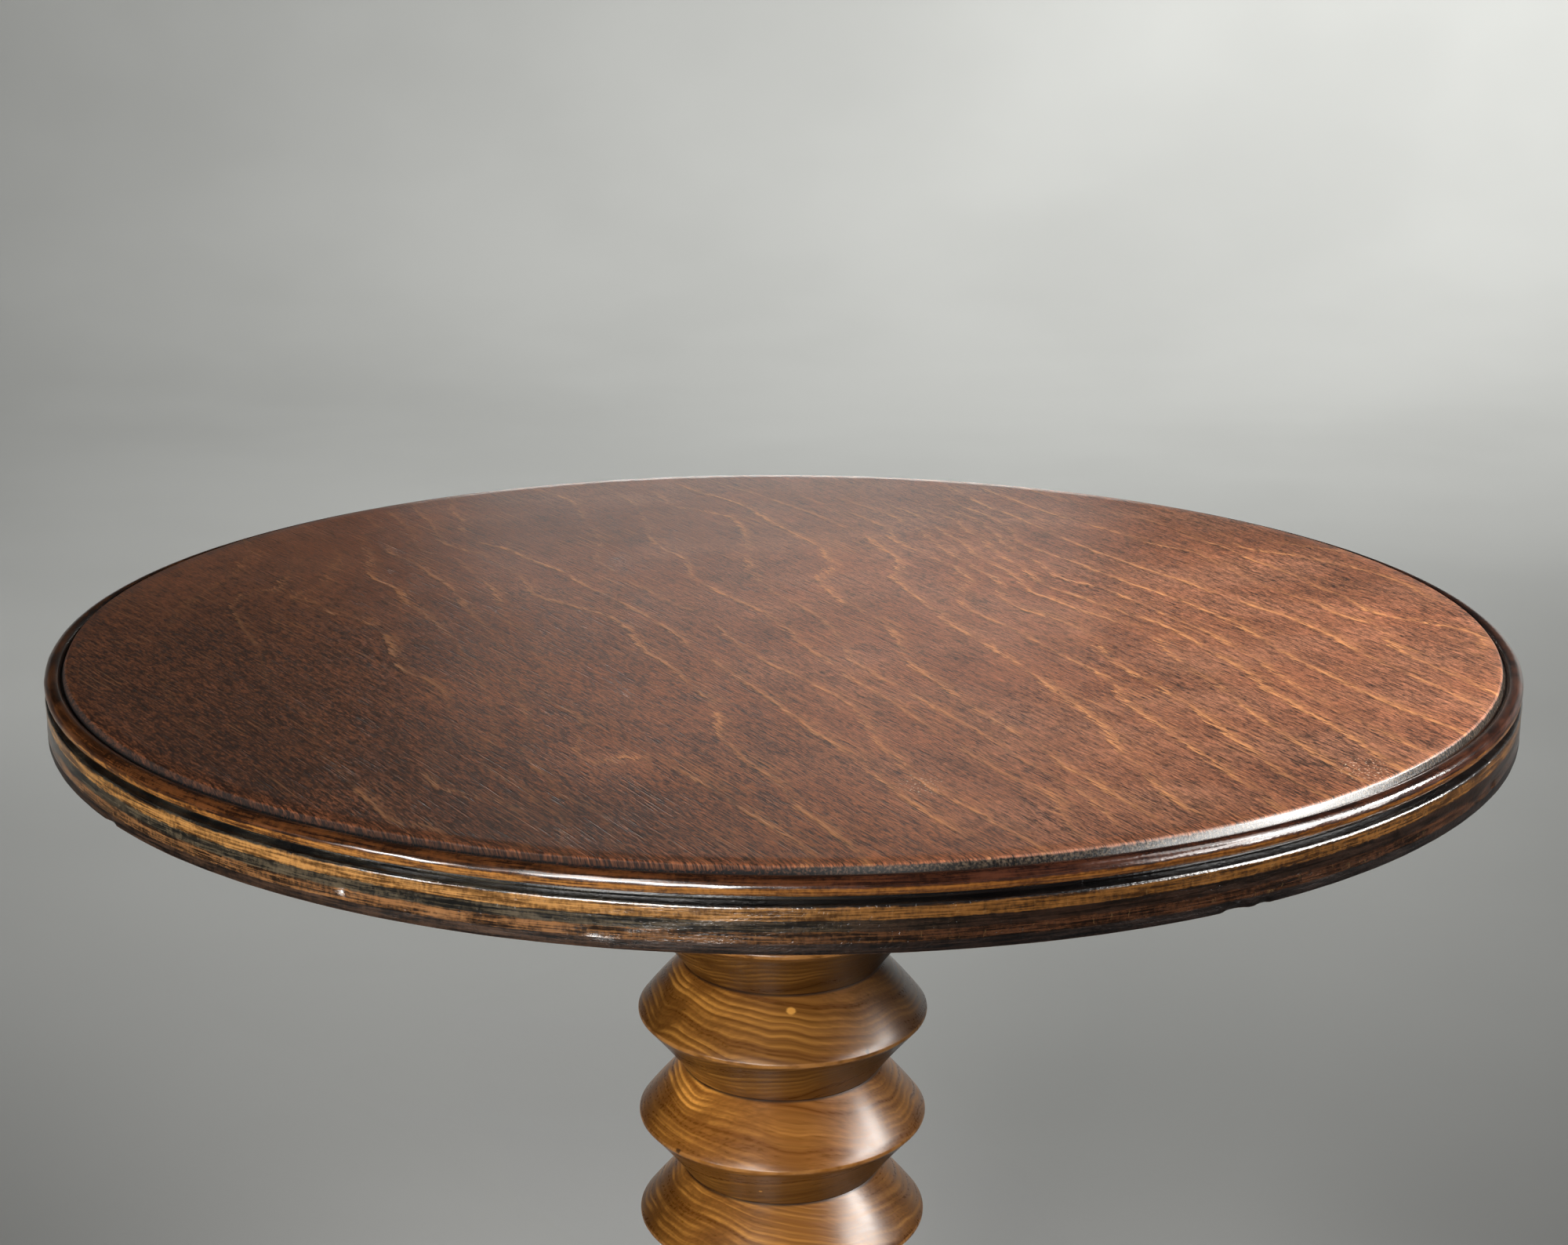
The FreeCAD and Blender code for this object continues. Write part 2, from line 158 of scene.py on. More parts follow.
# Figure of the face veneer: growth lines in order from left to right, as (x, y, tenths of full strength)
FIGURE_LINES = (
    ((-210, 100, 4), (-207, 72, 5), (-212, 30, 2), (-210, -30, 1), (-195, -90, 2), (-172, -140, 2)),
    ((-186, 34, 6), (-193, 33, 8), (-197, 21, 8), (-195, 5, 8), (-190, -10, 6), (-184, -25, 4),
     (-170, -65, 2), (-155, -105, 3), (-138, -148, 3), (-120, -183, 9), (-112, -198, 10), (-104, -212, 7)),
    ((-178, 28, 3), (-170, 18, 8), (-158, 0, 8), (-150, -6, 8), (-142, -15, 9), (-134, -32, 10),
     (-130, -50, 10), (-127, -62, 10), (-119, -75, 10), (-110, -86, 6), (-103, -108, 2), (-100, -145, 2),
     (-95, -186, 9), (-86, -191, 9), (-76, -197, 6), (-66, -217, 4)),
    ((-160, 88, 4), (-158, 70, 7), (-154, 53, 9), (-146, 42, 9), (-140, 32, 10), (-136, 18, 9),
     (-130, 7, 7), (-124, -6, 8), (-119, -16, 7), (-112, -34, 3), (-102, -62, 2), (-92, -100, 2),
     (-86, -140, 2), (-72, -185, 2), (-58, -222, 3)),
    ((-153, 91, 6), (-143, 78, 9), (-135, 62, 9), (-128, 50, 8), (-121, 35, 8), (-116, 18, 8), (-112, 6, 6),
     (-104, -12, 2), (-95, -38, 1), (-87, -80, 2), (-80, -112, 2), (-76, -145, 2), (-62, -190, 3),
     (-46, -225, 3)),
    ((-160, 152, 5), (-148, 120, 2), (-128, 85, 2), (-115, 55, 1), (-105, 30, 8), (-101, 10, 5),
     (-96, -10, 3), (-84, -45, 2), (-76, -80, 2), (-74, -101, 6), (-68, -110, 8), (-62, -119, 6),
     (-61, -142, 3), (-58, -159, 10), (-45, -157, 10), (-33, -163, 10), (-24, -177, 10), (-14, -195, 10),
     (-4, -212, 10), (6, -231, 8)),
    ((-92, 30, 5), (-83, 20, 6), (-70, 8, 7), (-62, 0, 7), (-57, -10, 8), (-52, -22, 9), (-48, -40, 10),
     (-40, -57, 10), (-34, -70, 10), (-29, -86, 10), (-22, -105, 10), (-20, -120, 10), (-19, -135, 10),
     (-14, -152, 8), (-8, -166, 7), (0, -185, 9), (5, -203, 10), (14, -222, 10), (20, -238, 7)),
    ((-141, 172, 5), (-135, 155, 7), (-131, 140, 7), (-129, 124, 6), (-120, 108, 9), (-112, 102, 10),
     (-101, 86, 10), (-92, 74, 10), (-82, 60, 9), (-75, 45, 9), (-67, 32, 9), (-60, 20, 8), (-52, 6, 8),
     (-45, -8, 8), (-38, -22, 7), (-32, -38, 5), (-20, -65, 7), (-13, -80, 8), (-6, -95, 5), (0, -110, 9),
     (8, -130, 10), (17, -148, 10), (24, -165, 10), (30, -182, 10), (37, -198, 9), (45, -215, 7),
     (51, -229, 6)),
    ((-97, 197, 6), (-90, 184, 7), (-84, 160, 4), (-78, 135, 5), (-73, 115, 6), (-73, 98, 5), (-70, 75, 2),
     (-58, 48, 3), (-42, 20, 2), (-28, 0, 2), (-20, -25, 5), (-12, -45, 4), (-4, -62, 8), (5, -76, 8),
     (12, -88, 8), (20, -102, 9), (25, -122, 5), (28, -146, 6), (35, -168, 9), (40, -182, 9), (48, -196, 8),
     (57, -213, 6)),
    ((-62, 177, 6), (-58, 150, 4), (-55, 125, 4), (-52, 112, 8), (-47, 99, 10), (-39, 86, 9), (-36, 72, 5),
     (-33, 52, 7), (-27, 40, 8), (-20, 26, 8), (-11, 12, 7), (-4, -4, 7), (2, -20, 7), (8, -40, 8),
     (15, -57, 7), (19, -68, 6), (26, -85, 6), (33, -100, 5), (41, -120, 4), (50, -142, 3), (58, -160, 4),
     (66, -176, 5), (75, -190, 5)),
    ((-48, 178, 4), (-38, 170, 7), (-30, 165, 9), (-22, 157, 10), (-18, 143, 9), (-16, 125, 7),
     (-15, 105, 6), (-14, 82, 8), (-12, 62, 7), (-8, 45, 6), (0, 25, 4), (10, 5, 4), (16, -15, 3),
     (20, -38, 4), (23, -58, 5), (31, -76, 5), (39, -92, 7), (47, -108, 6), (58, -130, 4), (66, -150, 3),
     (74, -168, 4)),
    ((-37, 205, 8), (-28, 195, 9), (-18, 180, 9), (-12, 165, 9), (-6, 150, 10), (1, 133, 8), (8, 118, 9),
     (14, 103, 7), (17, 88, 8), (18, 70, 9), (13, 52, 8), (17, 32, 9), (22, 18, 10), (28, 5, 10),
     (35, -8, 9), (38, -25, 8), (40, -52, 9), (46, -72, 8), (52, -90, 9), (58, -108, 8), (66, -126, 8),
     (74, -146, 7), (81, -166, 8), (90, -186, 8), (97, -200, 6)),
    ((3, 178, 5), (12, 165, 5), (20, 148, 6), (27, 135, 7), (33, 125, 8), (36, 112, 9), (40, 98, 9),
     (44, 82, 10), (42, 68, 9), (41, 55, 9), (45, 38, 8), (50, 22, 8), (54, 8, 9), (56, -4, 10),
     (62, -20, 9), (68, -35, 10), (74, -52, 10), (79, -68, 10), (84, -82, 10), (88, -97, 10), (93, -112, 9),
     (97, -128, 10), (98, -145, 9), (101, -162, 8), (104, -180, 8), (108, -195, 8), (114, -208, 6)),
    ((20, 178, 5), (32, 158, 4), (42, 120, 9), (48, 105, 8), (57, 90, 6), (66, 72, 7), (69, 57, 7),
     (65, 40, 7), (63, 22, 7), (68, 5, 5), (77, -12, 7), (85, -32, 7), (94, -52, 8), (101, -66, 8),
     (106, -84, 8), (106, -97, 9), (110, -115, 8), (116, -135, 8), (121, -150, 7), (126, -168, 7),
     (133, -186, 6)),
    ((45, 160, 6), (55, 135, 6), (59, 118, 5), (64, 98, 7), (67, 85, 7), (73, 68, 8), (79, 55, 8),
     (80, 40, 7), (80, 22, 8), (86, 8, 9), (95, -2, 9), (103, -18, 9), (107, -32, 10), (106, -48, 10),
     (110, -62, 10), (115, -75, 10), (121, -92, 10), (127, -108, 9), (131, -125, 9), (135, -142, 9),
     (139, -155, 8), (143, -176, 6)),
    ((60, 142, 6), (66, 125, 6), (72, 105, 7), (76, 88, 7), (83, 70, 8), (88, 52, 8), (90, 36, 9),
     (97, 25, 10), (105, 10, 8), (112, 0, 7), (120, -12, 9), (127, -28, 10), (129, -45, 8), (132, -60, 8),
     (137, -78, 8), (140, -95, 8), (143, -112, 9), (146, -122, 9), (150, -138, 8), (154, -150, 7),
     (163, -176, 6)),
    ((72, 150, 4), (80, 118, 6), (85, 88, 7), (92, 68, 8), (95, 50, 8), (104, 32, 9), (113, 18, 7),
     (122, 4, 8), (130, -7, 9), (137, -22, 9), (142, -40, 8), (147, -56, 7), (152, -72, 6), (157, -97, 8),
     (163, -115, 10), (168, -132, 10), (172, -148, 9), (176, -164, 8)),
    ((88, 118, 5), (94, 88, 7), (100, 64, 8), (110, 48, 7), (118, 41, 9), (125, 25, 10), (131, 12, 10),
     (137, -2, 10), (143, -15, 10), (150, -35, 10), (156, -52, 9), (160, -70, 8), (163, -88, 8),
     (168, -105, 8), (174, -120, 7), (180, -135, 6), (187, -150, 6)),
    ((92, 118, 6), (107, 88, 8), (115, 75, 7), (122, 60, 9), (130, 45, 9), (138, 32, 9), (145, 20, 8),
     (152, 5, 8), (158, -8, 8), (161, -22, 9), (166, -40, 9), (170, -55, 9), (176, -70, 9), (181, -84, 8),
     (188, -100, 8), (195, -115, 8), (203, -130, 6)),
    ((86, 178, 9), (93, 166, 8), (100, 148, 6), (106, 136, 7), (112, 122, 7), (118, 107, 8), (126, 90, 9),
     (134, 75, 9), (142, 62, 9), (150, 50, 9), (155, 38, 10), (160, 30, 10), (165, 22, 10), (170, 12, 9),
     (177, 2, 10), (183, -12, 10), (188, -25, 9), (192, -40, 9), (197, -55, 8), (203, -70, 7),
     (210, -88, 6)),
    ((90, 208, 7), (97, 195, 9), (104, 180, 9), (112, 165, 9), (120, 152, 9), (128, 140, 10),
     (136, 128, 10), (143, 115, 10), (150, 107, 10), (160, 98, 8), (168, 75, 3), (178, 45, 3), (192, 20, 5),
     (205, -8, 8), (206, -28, 9), (208, -45, 9), (213, -62, 9), (220, -80, 8), (225, -92, 7)),
    ((150, 155, 3), (165, 125, 3), (175, 104, 8), (180, 86, 9), (188, 70, 5), (198, 40, 5), (207, 12, 10),
     (213, 2, 10), (222, -5, 10), (232, -13, 10), (238, -22, 8)),
    ((180, 106, 7), (190, 98, 9), (202, 90, 10), (210, 80, 10), (218, 72, 10), (226, 60, 8), (232, 45, 6)),
)
FIGURE_REACH = 11.0
FIGURE_STIFFNESS = 4.0
STRENGTH_FLOOR = 0.08
SLOPE_RANGE = (0.02, 0.25)
TILT_LIMIT = 0.7

# Darker (positive) and lighter (negative) patches, as (x, y, radius, amount) in plan: partly uneven
# staining, partly painted shade at the left of the face and painted light at its right
STAIN_LIGHT_AND_SHADE_PATCHES = (
    (-265, -110, 190, 1), (-120, -50, 80, .3), (-115, -235, 105, .75), (0, -250, 70, .45),
    (-85, 140, 42, .4), (-30, 120, 24, .15), (-60, 170, 20, .15), (-160, 100, 45, .2), (-198, -15, 45, .15),
    (-178, -105, 55, .1), (-112, -165, 42, .1), (-60, -205, 26, .15), (-20, -90, 40, .1),
    (20, -215, 30, .1), (176, -166, 15, .5), (150, -188, 15, .5), (118, -208, 13, .5), (92, -222, 10, .4),
    (205, 118, 12, .4), (-48, -160, 17, -.4), (-122, -196, 13, -.35), (-20, -115, 14, -.25),
    (155, 25, 32, -.35), (212, 0, 26, -.4), (188, 84, 22, -.3), (60, -195, 24, -.25), (120, 45, 40, -.25),
    (38, 60, 50, -.15), (-98, 33, 12, -.2), (-46, 98, 12, -.3), (165, 100, 26, -.25), (228, -60, 18, .25),
    (226, -20, 12, .2),
)

# Scuffed spots of the face with pale specks, as (x, y, radius) in plan
SCUFFS = ((38.5, -180.0, 9.0), (166.0, -166.0, 11.0))

# Small losses at the rim, as (degrees round, depth below the top, half width, half height, bite)
CHIPS = (
    (-117.85, 15.6, 1.9, 1.5, 0.7),
    (-61.1, 22.0, 4.2, 2.2, 1.3),
    (-58.9, 22.0, 2.4, 1.4, 0.8),
    (-31.0, 17.5, 3.0, 1.6, 0.5),
    (-142.0, 21.6, 3.4, 1.6, 0.7),
    (-100.5, 17.6, 5.0, 1.8, 0.35),
    (38.0, 21.8, 3.6, 1.7, 0.8),
    (121.0, 20.6, 2.8, 1.5, 0.6),
    (165.0, 16.8, 2.6, 1.4, 0.5),
)


def srgb(red, green, blue):
    """A display colour, 0 to 255, as the linear colour that a shader socket takes."""
    shares = [value / 255 for value in (red, green, blue)]
    linear = [v / 12.92 if v <= 0.04045 else ((v + 0.055) / 1.055) ** 2.4 for v in shares]
    return (*linear, 1.0)


def arc_points(centre, radius, start, end, steps):
    """Points of an arc, angles in degrees."""
    angles = np.radians(np.linspace(start, end, steps + 1))
    return [(centre[0] + radius * math.cos(a), centre[1] + radius * math.sin(a)) for a in angles]


def bowed_points(start, end, rise, steps):
    """Points of an arc from start to end that stands off the middle of its chord by rise, to the left."""
    start, end = np.array(start, float), np.array(end, float)
    chord = end - start
    half = np.linalg.norm(chord) / 2
    left = np.array((-chord[1], chord[0])) / (2 * half)
    radius = (half ** 2 + rise ** 2) / (2 * abs(rise))
    centre = (start + end) / 2 + left * (rise - math.copysign(radius, rise))
    first, last = (math.atan2(*(p - centre)[::-1]) for p in (start, end))
    sweep = (last - first + math.pi) % (2 * math.pi) - math.pi
    angles = first + sweep * np.linspace(0, 1, steps + 1)
    return [(centre[0] + radius * math.cos(a), centre[1] + radius * math.sin(a)) for a in angles]


class Rings:
    """A surface turned about the Z axis, made ring by ring. A ring of one vertex is a pole."""

    def __init__(self):
        self.vertices = []
        self.faces = []
        self.last = None

    def add(self, radius, z, count, bend=None):
        first = len(self.vertices)
        if radius < 1e-6:
            count = 1
        for step in range(count):
            angle = 2 * math.pi * step / count
            r, height = (radius, z) if bend is None else bend(angle, radius, z)
            self.vertices.append((r * math.cos(angle) * MM, r * math.sin(angle) * MM, height * MM))
        ring = (first, count)
        if self.last is not None:
            self.bridge(self.last, ring)
        self.last = ring

    def bridge(self, one, two):
        (a, m), (b, n) = one, two
        if m == n:
            for i in range(m):
                j = (i + 1) % m
                self.faces.append((a + i, a + j, b + j, b + i))
        elif n == 1:
            for i in range(m):
                self.faces.append((a + i, a + (i + 1) % m, b))
        elif m == 1:
            for i in range(n):
                self.faces.append((a, b + (i + 1) % n, b + i))
        elif m == 2 * n:
            self.halve(a, m, b, n)
        else:
            self.halve(b, n, a, m)

    def halve(self, fine, m, coarse, n):
        for i in range(n):
            left, middle, right = fine + 2 * i, fine + 2 * i + 1, fine + (2 * i + 2) % m
            here, there = coarse + i, coarse + (i + 1) % n
            self.faces.append((left, middle, here))
            self.faces.append((middle, there, here))
            self.faces.append((middle, right, there))


def new_object(name, data):
    made = bpy.data.objects.new(name, data)
    bpy.context.scene.collection.objects.link(made)
    return made


def smooth(mesh, sharp_degrees):
    mesh.shade_smooth()
    mesh.set_sharp_from_angle(angle=math.radians(sharp_degrees))


def make_piece(name, rings, sharp_degrees=32.0):
    mesh = bpy.data.meshes.new(name)
    mesh.from_pydata(rings.vertices, [], rings.faces)
    solid = bmesh.new()
    solid.from_mesh(mesh)
    bmesh.ops.recalc_face_normals(solid, faces=solid.faces)
    solid.to_mesh(mesh)
    solid.free()
    smooth(mesh, sharp_degrees)
    return new_object(name, mesh)


def declare(piece, slot, *nodes):
    """Puts a new piece under the root body and hides the CAD nodes that it stands for. The slot is not used.
    """
    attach(piece, "root")
    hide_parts(*nodes)


# Shapes of the top

def rim_profile():
    """Outline of the board's edge from the face down to the underside, as (radius, z)."""
    bead_r = TOP_RADIUS - BEAD_RADIUS
    bead_z = TOP_Z - BEAD_DROP - BEAD_RADIUS
    bead = arc_points((bead_r, bead_z), BEAD_RADIUS, 180 - QUIRK_ANGLE, -GROOVE_ANGLE, 60)
    wall_r = bead[0][0] - QUIRK_WIDTH - QUIRK_SLOPE
    groove_r = TOP_RADIUS - GROOVE_DEPTH
    band_z = bead[-1][1] - GROOVE_HEIGHT
    edge_r = wall_r - FACE_EDGE_RADIUS * math.cos(math.radians(FACE_EDGE_LOW))
    edge_z = TOP_Z - FACE_EDGE_RADIUS * math.sin(math.radians(FACE_EDGE_HIGH))
    points = arc_points((edge_r, edge_z), FACE_EDGE_RADIUS, FACE_EDGE_HIGH, FACE_EDGE_LOW, 8)
    points.append((bead[0][0] - QUIRK_FLOOR, bead[0][1]))
    points += bead
    points += [(groove_r + GROOVE_CORNER, bead[-1][1]), (groove_r, bead[-1][1] - GROOVE_CORNER)]
    points += [(groove_r, band_z + GROOVE_CORNER), (groove_r + GROOVE_CORNER, band_z)]
    points += arc_points((TOP_RADIUS - BAND_ROUND, band_z - BAND_ROUND), BAND_ROUND, 90, 0, 6)
    side_low = UNDERSIDE_Z + UNDERSIDE_ROUND
    points += [(TOP_RADIUS, z) for z in np.arange(points[-1][1] - 1.0, side_low + 0.4, -1.0)]
    points += arc_points((TOP_RADIUS - UNDERSIDE_ROUND, side_low), UNDERSIDE_ROUND, 0, -90, 5)
    return points


def clipped(points, high, low):
    """The part of a falling outline between two levels, cut exactly at both."""
    kept = []
    for (r0, z0), (r1, z1) in zip(points, points[1:]):
        if low <= z0 <= high:
            kept.append((r0, z0))
        for level in (high, low):
            if (z0 - level) * (z1 - level) < 0:
                share = (z0 - level) / (z0 - z1)
                kept.append((r0 + (r1 - r0) * share, level))
    if low <= points[-1][1] <= high:
        kept.append(points[-1])
    return kept


def worn_rim(angle, r, z):
    """The handmade edge: a slow unevenness of a tenth of a millimetre, and the chips."""
    if r < TOP_RADIUS - WORN_WIDTH:
        return r, z
    depth = TOP_Z - z
    uneven = sum(high * math.sin(waves * angle + twist * depth) for high, waves, twist in RIM_WAVES)
    for degrees, level, half_width, half_height, bite in CHIPS:
        turn = (angle - math.radians(degrees) + math.pi) % (2 * math.pi) - math.pi
        across = turn * TOP_RADIUS / half_width
        down = (depth - level) / half_height
        reach = across * across + down * down
        if reach < 1:
            uneven -= bite * (1 - reach) ** 0.6
    return r + uneven, z


def disc_rings(radius, count, spacing):
    """Rings of a flat disc from its edge to the middle, coarser on the way, as (radius, count)."""
    steps = max(1, round(radius / spacing))
    plan = []
    for step in range(steps - 1, 0, -1):
        r = radius * step / steps
        if r * 2 * math.pi / count < spacing * 0.55 and count % 2 == 0 and count > 40:
            count //= 2
        plan.append((r, count))
    return plan + [(0, 1)]


def ply_rings(number, profile):
    high = TOP_Z - (number - 1) * PLY_THICKNESS
    low = TOP_Z - number * PLY_THICKNESS
    edge = clipped(profile, high + 1e-6, low - 1e-6)
    (first_r, first_z), (last_r, last_z) = edge[0], edge[-1]
    rings = Rings()
    spacing = FACE_SPACING if number == 1 else CORE_SPACING
    for r, count in reversed(disc_rings(first_r, RIM_SEGMENTS, spacing)):
        rings.add(r, first_z, count)
    for r, z in edge:
        rings.add(r, z, RIM_SEGMENTS, worn_rim)
    for r, count in disc_rings(last_r, RIM_SEGMENTS, CORE_SPACING):
        rings.add(r, last_z, count)
    return rings


# Figure of the face veneer, held on the face's vertices

def spline_field(places, levels):
    """A thin plate through the levels of the figure's lines. Returns a function of points in plan."""
    count = len(places)
    apart = np.linalg.norm(places[:, None] - places[None], axis=-1)
    system = np.zeros((count + 3, count + 3))
    system[:count, :count] = plate(apart) + FIGURE_STIFFNESS * np.eye(count)
    flat = np.column_stack((np.ones(count), places))
    system[:count, count:] = flat
    system[count:, :count] = flat.T
    weights = np.linalg.solve(system, np.concatenate((levels, np.zeros(3))))

    def field(points):
        away = np.linalg.norm(points[:, None] - places[None], axis=-1)
        return plate(away) @ weights[:count] + weights[count] + points @ weights[count + 1:]

    return field


def plate(distance):
    return distance ** 2 * np.log(np.maximum(distance, 1e-6))


def figure_attributes(mesh):
    """Writes the figure's level, slope, tilt to the grain and strength, and the staining with its painted
    shade and light, on each vertex.
    """
    rows = [(*point, level) for level, line in enumerate(FIGURE_LINES) for point in line]
    table = np.array(rows, float)
    field = spline_field(table[:, :2], table[:, 3])
    places = np.array([v.co[:2] for v in mesh.vertices]) / MM
    level = field(places)
    along = (field(places + GRAIN) - field(places - GRAIN)) / 2
    across = (field(places + ACROSS) - field(places - ACROSS)) / 2
    slope = np.clip(np.hypot(along, across), *SLOPE_RANGE)
    near = np.exp(-(np.linalg.norm(places[:, None] - table[None, :, :2], axis=-1) / FIGURE_REACH) ** 2)
    strength = (near @ table[:, 2] / 10) / (near.sum(axis=1) + STRENGTH_FLOOR)
    stain_light_and_shade = np.zeros(len(places))
    for x, y, radius, amount in STAIN_LIGHT_AND_SHADE_PATCHES:
        stain_light_and_shade += amount * np.exp(-np.sum((places - (x, y)) ** 2, axis=1) / radius ** 2)
    values = {
        "figure_level": level,
        "figure_slope": slope,
        "figure_tilt": np.clip(along / slope, -TILT_LIMIT, TILT_LIMIT),
        "figure_strength": strength,
        "stain_light_and_shade": stain_light_and_shade,
    }
    for name, numbers in values.items():
        attribute = mesh.attributes.new(name, "FLOAT", "POINT")
        attribute.data.foreach_set("value", numbers.astype(np.float32))


# Shapes of the column and the legs

def column_profile():
    nose_r = RIDGE_RADIUS - NOSE_INSET
    points = [(RIDGE_RADIUS - BOSS_CHAMFER, BOSS_Z), (RIDGE_RADIUS, BOSS_Z + BOSS_CHAMFER)]
    points += [(RIDGE_RADIUS, z) for z in np.linspace(BOSS_Z + 12, FLAT_TOP_Z - 0.02, 9)]
    points += [(RIDGE_RADIUS, FLAT_TOP_Z + 0.02), (RIDGE_RADIUS, BOSS_TOP_Z)]
    boss_nose = (nose_r, BOSS_TOP_Z + NOSE_HEIGHT / 2)
    points += bowed_points(boss_nose, (NECK_RADIUS, LAST_NECK_Z), -UPPER_FLANK_BULGE, 9)
    for number in range(RIDGE_COUNT):
        neck_z = LAST_NECK_Z + number * RIDGE_PITCH
        points += ridge_points(neck_z, nose_r)[1:]
    points += [(NECK_RADIUS, SHOULDER_Z), (TENON_RADIUS, SHOULDER_Z), (TENON_RADIUS, TENON_Z)]
    return points


def ridge_points(neck_z, nose_r):
    """One ridge, from its lower neck to its upper neck."""
    middle = neck_z + RIDGE_PITCH / 2 + RIDGE_LIFT
    low_nose = (nose_r, middle - NOSE_HEIGHT / 2)
    high_nose = (nose_r, middle + NOSE_HEIGHT / 2)
    points = bowed_points((NECK_RADIUS, neck_z), low_nose, LOWER_FLANK_HOLLOW, 9)
    points += bowed_points(low_nose, high_nose, -NOSE_INSET, 6)[1:]
    points += bowed_points(high_nose, (NECK_RADIUS, neck_z + RIDGE_PITCH), -UPPER_FLANK_BULGE, 9)[1:]
    return points


def flattened(angle, r, z):
    """The three flats on the boss that the legs are held against."""
    if z > FLAT_TOP_Z or z < BOSS_Z:
        return r, z
    for degrees in LEG_ANGLES:
        facing = math.cos(angle - math.radians(degrees))
        if r * facing > FLAT_RADIUS:
            return FLAT_RADIUS / facing, z
    return r, z


def column_rings():
    rings = Rings()
    rings.add(0, BOSS_Z, 1)
    rings.add(RIDGE_RADIUS * 0.5, BOSS_Z, COLUMN_SEGMENTS // 2)
    for r, z in column_profile():
        rings.add(r, z, COLUMN_SEGMENTS, flattened)
    rings.add(0, TENON_Z, 1)
    return rings


def bearer_rings():
    left_paler_and_lit = BEARER_RADIUS - BEARER_EDGE * 0.3
    outline = [
        (BEARER_RADIUS - BEARER_CHAMFER - BEARER_EDGE, SHOULDER_Z),
        (BEARER_RADIUS - BEARER_CHAMFER + BEARER_EDGE * 0.3, SHOULDER_Z + BEARER_EDGE * 0.4),
        (left_paler_and_lit, SHOULDER_Z + BEARER_CHAMFER - BEARER_EDGE * 0.4),
        (BEARER_RADIUS, SHOULDER_Z + BEARER_CHAMFER + BEARER_EDGE),
        (BEARER_RADIUS, UNDERSIDE_Z),
    ]
    rings = Rings()
    rings.add(BORE_RADIUS, SHOULDER_Z, COLUMN_SEGMENTS)
    rings.add(BEARER_RING, SHOULDER_Z, COLUMN_SEGMENTS)
    for r, z in outline:
        rings.add(r, z, COLUMN_SEGMENTS)
    rings.add(BORE_RADIUS, UNDERSIDE_Z, COLUMN_SEGMENTS)
    rings.bridge(rings.last, (0, COLUMN_SEGMENTS))
    return rings


def leg_outline():
    """Side view of a leg along +X, as (distance from the axis, z), from the hip's foot round by the toe."""
    crown = bowed_points((FLAT_RADIUS, HIP_Z), (TOE_RADIUS, TOE_Z), CROWN_RISE, 40)
    crown = [p for p in crown if p[0] < TOE_RADIUS - TOE_ROUND]
    toe_start = (crown[-1][0] + TOE_START[0], crown[-1][1] + TOE_START[1])
    toe = bowed_points(toe_start, (TOE_RADIUS, TOE_Z - TOE_ROUND), TOE_BULGE, 7)
    drop = BOSS_Z - FOOT_Z
    reach = HEEL_RADIUS - LAND_RADIUS
    radius = (reach ** 2 + drop ** 2) / (2 * drop)
    centre = (LAND_RADIUS, BOSS_Z - radius)
    end = math.degrees(math.atan2(FOOT_Z - centre[1], reach))
    arch = arc_points(centre, radius, end, 90, 28)
    return crown + toe + [(TOE_RADIUS, FOOT_Z)] + arch + [(FLAT_RADIUS, BOSS_Z)]


def leg_mesh(name):
    outline = leg_outline()
    solid = bmesh.new()
    left = [solid.verts.new((x, -LEG_THICKNESS / 2, z)) for x, z in outline]
    right = [solid.verts.new((x, LEG_THICKNESS / 2, z)) for x, z in outline]
    solid.faces.new(left)
    solid.faces.new(reversed(right))
    count = len(outline)
    for i in range(count):
        j = (i + 1) % count
        solid.faces.new((left[j], left[i], right[i], right[j]))
    bmesh.ops.recalc_face_normals(solid, faces=solid.faces)
    long_edges = []
    for edge in solid.edges:
        one, two = (v.co for v in edge.verts)
        on_side = abs(one.y - two.y) < 1e-6
        at_hip = max(one.x, two.x) < FLAT_RADIUS + 1e-6
        under_foot = max(one.z, two.z) < FOOT_Z + 1e-6
        if on_side and not at_hip and not under_foot:
            long_edges.append(edge)
    bmesh.ops.bevel(solid, geom=long_edges, offset=LEG_EDGE_ROUND, offset_type="OFFSET", segments=5,
                    profile=0.5, affect="EDGES", clamp_overlap=True)
    bmesh.ops.recalc_face_normals(solid, faces=solid.faces)
    for vertex in solid.verts:
        vertex.co *= MM
    mesh = bpy.data.meshes.new(name)
    solid.to_mesh(mesh)
    solid.free()
    smooth(mesh, 40.0)
    return mesh


# Node materials

class Value:
    """A number that varies over a surface. Arithmetic on it adds Math nodes."""

    def __init__(self, shader, socket):
        self.shader = shader
        self.socket = socket

    def __add__(self, other):
        return self.shader.math("ADD", self, other)

    def __sub__(self, other):
        return self.shader.math("SUBTRACT", self, other)

    def __rsub__(self, other):
        return self.shader.math("SUBTRACT", other, self)

    def __mul__(self, other):
        return self.shader.math("MULTIPLY", self, other)

    def __truediv__(self, other):
        return self.shader.math("DIVIDE", self, other)

    __radd__ = __add__
    __rmul__ = __mul__

    def size(self):
        return self.shader.math("ABSOLUTE", self)

    def step(self, low, high):
        """0 below low, 1 above high and smooth between. With low above high it falls."""
        return self.shader.step(self, low, high)


